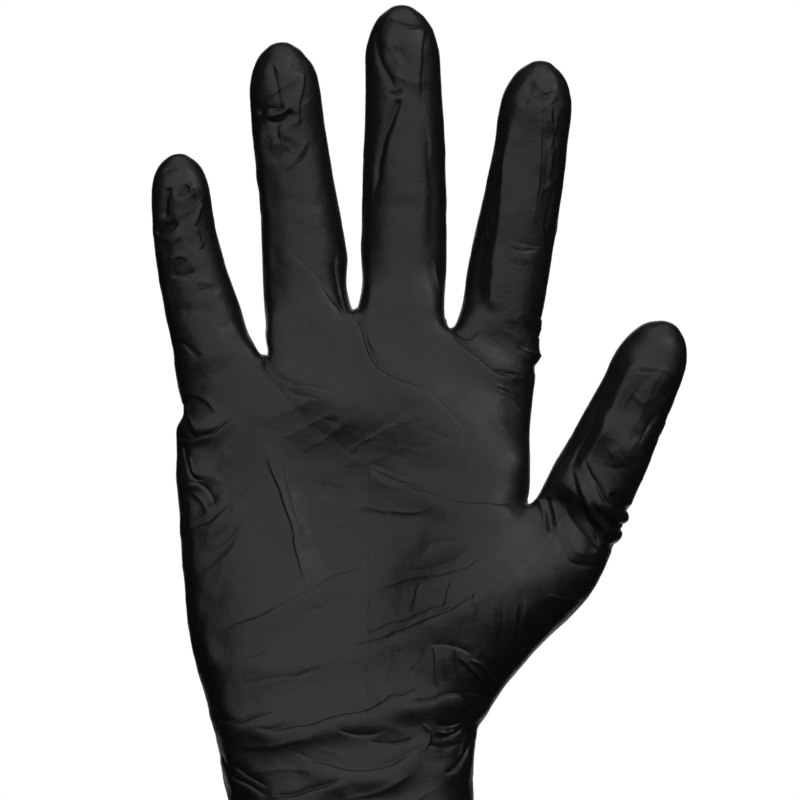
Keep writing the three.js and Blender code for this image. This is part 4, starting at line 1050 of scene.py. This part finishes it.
@dataclass(frozen=True)
class NitrileFinish:
    """Nitrile rubber, dipped on a smooth former and chlorinated.

    The dipping gives a pore-free film with a satin face, and the chlorine wash takes the rubber's tack away
    and leaves it faintly mottled. The eye sees a near black with a broad soft sheen, which a fine grain
    and faint wrinkles break up.

    Args:
        deep: Colour of the film.
        washed: Colour where the wash has left it a shade paler.
        roughness: Lowest and highest roughness of the satin face.
        mottle: Size of the wash's mottling in mm.
        grain: Size of the grain in mm. The real grain is finer; it is drawn as coarse as it shows.
        grain_depth: Depth of the grain in mm.
        grain_strength: How strongly the grain bends the sheen, from 0 to 1.
        ripple: Distance in mm of the faintest wrinkles, which the mesh doesn't hold.
        ripple_depth: Depth of those wrinkles in mm.
        ripple_strength: How strongly they bend the sheen, from 0 to 1.
        ior: Refractive index of the rubber.
    """

    name: str = "dipped_chlorinated_nitrile"
    deep: str = "#0e0e0f"
    washed: str = "#161617"
    roughness: tuple[float, float] = (0.38, 0.47)
    mottle: float = 2.4
    grain: float = 0.55
    grain_depth: float = 0.1
    grain_strength: float = 0.2
    ripple: float = 2.6
    ripple_depth: float = 0.3
    ripple_strength: float = 0.35
    ior: float = 1.52

    def make(self) -> bpy.types.Material:
        """Makes the material.

        Returns:
            The material, with all its patterns in object coordinates.
        """
        material = bpy.data.materials.new(self.name)
        material.use_nodes = True
        tree = material.node_tree
        tree.nodes.clear()
        place = add_node(tree, "ShaderNodeTexCoord").outputs["Object"]
        mottle = add_node(tree, "ShaderNodeTexNoise", Vector=place, Scale=1 / (self.mottle * MM), Detail=4.0,
                          Roughness=0.6)
        colour = add_node(tree, "ShaderNodeMix", {"data_type": "RGBA"}, Factor=mottle.outputs["Fac"],
                          _6=linear(self.deep), _7=linear(self.washed))
        low, high = self.roughness
        satin = add_node(tree, "ShaderNodeMapRange", Value=mottle.outputs["Fac"], From_Min=0.3, From_Max=0.7,
                         To_Min=low, To_Max=high)
        grain = add_node(tree, "ShaderNodeTexNoise", Vector=place, Scale=1 / (self.grain * MM), Detail=2.0)
        ripple = add_node(tree, "ShaderNodeTexNoise", Vector=place, Scale=1 / (self.ripple * MM), Detail=3.0,
                          Distortion=0.6)
        fine = add_node(tree, "ShaderNodeBump", Height=grain.outputs["Fac"],
                        Strength=self.grain_strength, Distance=self.grain_depth * MM)
        bump = add_node(tree, "ShaderNodeBump", Height=ripple.outputs["Fac"],
                        Strength=self.ripple_strength, Distance=self.ripple_depth * MM,
                        Normal=fine.outputs["Normal"])
        shader = add_node(tree, "ShaderNodeBsdfPrincipled", Base_Color=colour.outputs[2],
                          Roughness=satin.outputs["Result"], Normal=bump.outputs["Normal"], IOR=self.ior)
        add_node(tree, "ShaderNodeOutputMaterial", Surface=shader.outputs["BSDF"])
        return material


@dataclass(frozen=True)
class Softbox:
    """A flat studio light that is turned to the glove.

    Args:
        name: Its name.
        place: Where it stands, in metres.
        size: Its width and height in metres.
        glow: The radiance of its face; white paper in full light has 1.
    """

    name: str
    place: tuple[float, float, float]
    size: tuple[float, float]
    glow: float

    @property
    def power(self) -> float:
        """Its power in watts."""
        return self.glow * math.pi * self.size[0] * self.size[1]


@dataclass
class Studio:
    """The pale floor, the soft lights and the camera.

    Args:
        span: Width in metres that the picture shows at the glove.
        centre: The point that the camera looks at, in metres.
        lens: The camera's lens in mm, long as for a product picture.
        clip: Nearest and farthest distances in metres that the camera sees.
        floor_size: Side of the floor in metres.
        floor_gap: How far in mm the floor lies below the solid, which leaves room for the creased bead.
        paper: Colour of the floor.
        paper_glow: Light that the paper gives by itself, so that it stays pale on every side of the glove.
        paper_radius: Distances in metres from the glove between which the floor turns pure white.
        surroundings: Radiance of the studio's dark walls.
        lights: The softboxes.
    """

    span: float = 0.2085
    centre: tuple[float, float, float] = (0.013, -0.004, 0.138)
    lens: float = 600.0
    clip: tuple[float, float] = (0.05, 50.0)
    floor_size: float = 12.0
    floor_gap: float = 0.5
    paper: str = "#e8e8e8"
    paper_glow: float = 0.42
    paper_radius: tuple[float, float] = (0.12, 0.32)
    surroundings: float = 0.012
    lights: tuple[Softbox, ...] = (
        Softbox("front wall", (0.1, -1.6, 0.57), (4.5, 2.34), 0.87),
        Softbox("key", (1.25, -1.05, 1.05), (0.8, 1.0), 1.4),
        Softbox("top", (0.1, -0.5, 1.9), (2.0, 1.5), 0.9),
        Softbox("back wall", (0.0, 1.8, 0.4), (1.3, 2.2), 1.0),
    )

    def build(self) -> None:
        """Sets up everything around the glove."""
        self.add_camera()
        for light in self.lights:
            self.add_light(light)
        self.add_floor()
        self.add_surroundings()
        bpy.context.scene.view_settings.view_transform = "Standard"

    def add_camera(self) -> None:
        """Adds the camera, level and straight in front of the palm."""
        sensor = 36.0
        distance = self.span * self.lens / sensor
        x, y, z = self.centre
        bpy.ops.object.camera_add(location=(x, y - distance, z), rotation=(math.pi / 2, 0, 0))
        camera = bpy.context.object
        camera.data.sensor_width = sensor
        camera.data.lens = self.lens
        camera.data.clip_start, camera.data.clip_end = self.clip
        bpy.context.scene.camera = camera

    def add_light(self, light: Softbox) -> None:
        """Adds one softbox.

        Args:
            light: The softbox.
        """
        bpy.ops.object.light_add(type="AREA", location=light.place)
        lamp = bpy.context.object
        lamp.name = light.name
        lamp.data.shape = "RECTANGLE"
        lamp.data.size, lamp.data.size_y = light.size
        lamp.data.energy = light.power
        lamp.visible_camera = False
        towards = Vector(self.centre) - Vector(light.place)
        lamp.rotation_euler = towards.to_track_quat("-Z", "Y").to_euler()

    def add_floor(self) -> None:
        """Adds the pale floor, which turns pure white away from the glove and doesn't show in its sheen."""
        level = CAD_BOX[0][2] - self.floor_gap * MM
        bpy.ops.mesh.primitive_plane_add(size=self.floor_size, location=(0, 0, level))
        floor = bpy.context.object
        floor.name = "floor"
        bpy.ops.object.transform_apply(location=True, rotation=False, scale=True)
        material = bpy.data.materials.new("matt_white_paper")
        material.use_nodes = True
        tree = material.node_tree
        tree.nodes.clear()
        place = add_node(tree, "ShaderNodeTexCoord").outputs["Object"]
        away = add_node(tree, "ShaderNodeVectorMath", {"operation": "LENGTH"}, _0=place)
        near, far = self.paper_radius
        share = add_node(tree, "ShaderNodeMapRange", {"interpolation_type": "SMOOTHSTEP"},
                         Value=away.outputs["Value"], From_Min=near, From_Max=far)
        shaded = add_node(tree, "ShaderNodeBsdfDiffuse", Color=linear(self.paper))
        bright = add_node(tree, "ShaderNodeEmission", Color=linear("#ffffff"), Strength=self.paper_glow)
        paper = add_node(tree, "ShaderNodeAddShader", _0=shaded.outputs["BSDF"],
                         _1=bright.outputs["Emission"])
        white = add_node(tree, "ShaderNodeEmission", Color=linear("#ffffff"), Strength=1.0)
        mix = add_node(tree, "ShaderNodeMixShader", _0=share.outputs["Result"], _1=paper.outputs["Shader"],
                       _2=white.outputs["Emission"])
        add_node(tree, "ShaderNodeOutputMaterial", Surface=mix.outputs["Shader"])
        floor.data.materials.append(material)
        floor.visible_glossy = floor.visible_diffuse = floor.visible_shadow = False

    def add_surroundings(self) -> None:
        """Makes the background white to the camera and dark in reflections."""
        world = bpy.data.worlds.new("studio")
        bpy.context.scene.world = world
        world.use_nodes = True
        tree = world.node_tree
        tree.nodes.clear()
        seen = add_node(tree, "ShaderNodeLightPath").outputs["Is Camera Ray"]
        dark = add_node(tree, "ShaderNodeBackground", Color=linear("#ffffff"),
                        Strength=self.surroundings)
        white = add_node(tree, "ShaderNodeBackground", Color=linear("#ffffff"), Strength=1.0)
        mix = add_node(tree, "ShaderNodeMixShader", _0=seen, _1=dark.outputs[0], _2=white.outputs[0])
        add_node(tree, "ShaderNodeOutputWorld", Surface=mix.outputs["Shader"])


def main() -> None:
    """Builds the glove and the studio around it."""
    logging.basicConfig(level=logging.INFO, format="%(relativeCreated)6d ms  %(message)s")
    bpy.ops.object.select_all(action="DESELECT")
    film = GloveFilm()
    piece = film.build()
    piece.data.materials.append(NitrileFinish().make())
    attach(piece, BODY)
    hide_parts(NODE)
    log.info("%s: %d faces", piece.name, len(piece.data.polygons))
    Studio().build()


if __name__ == "__main__":
    main()
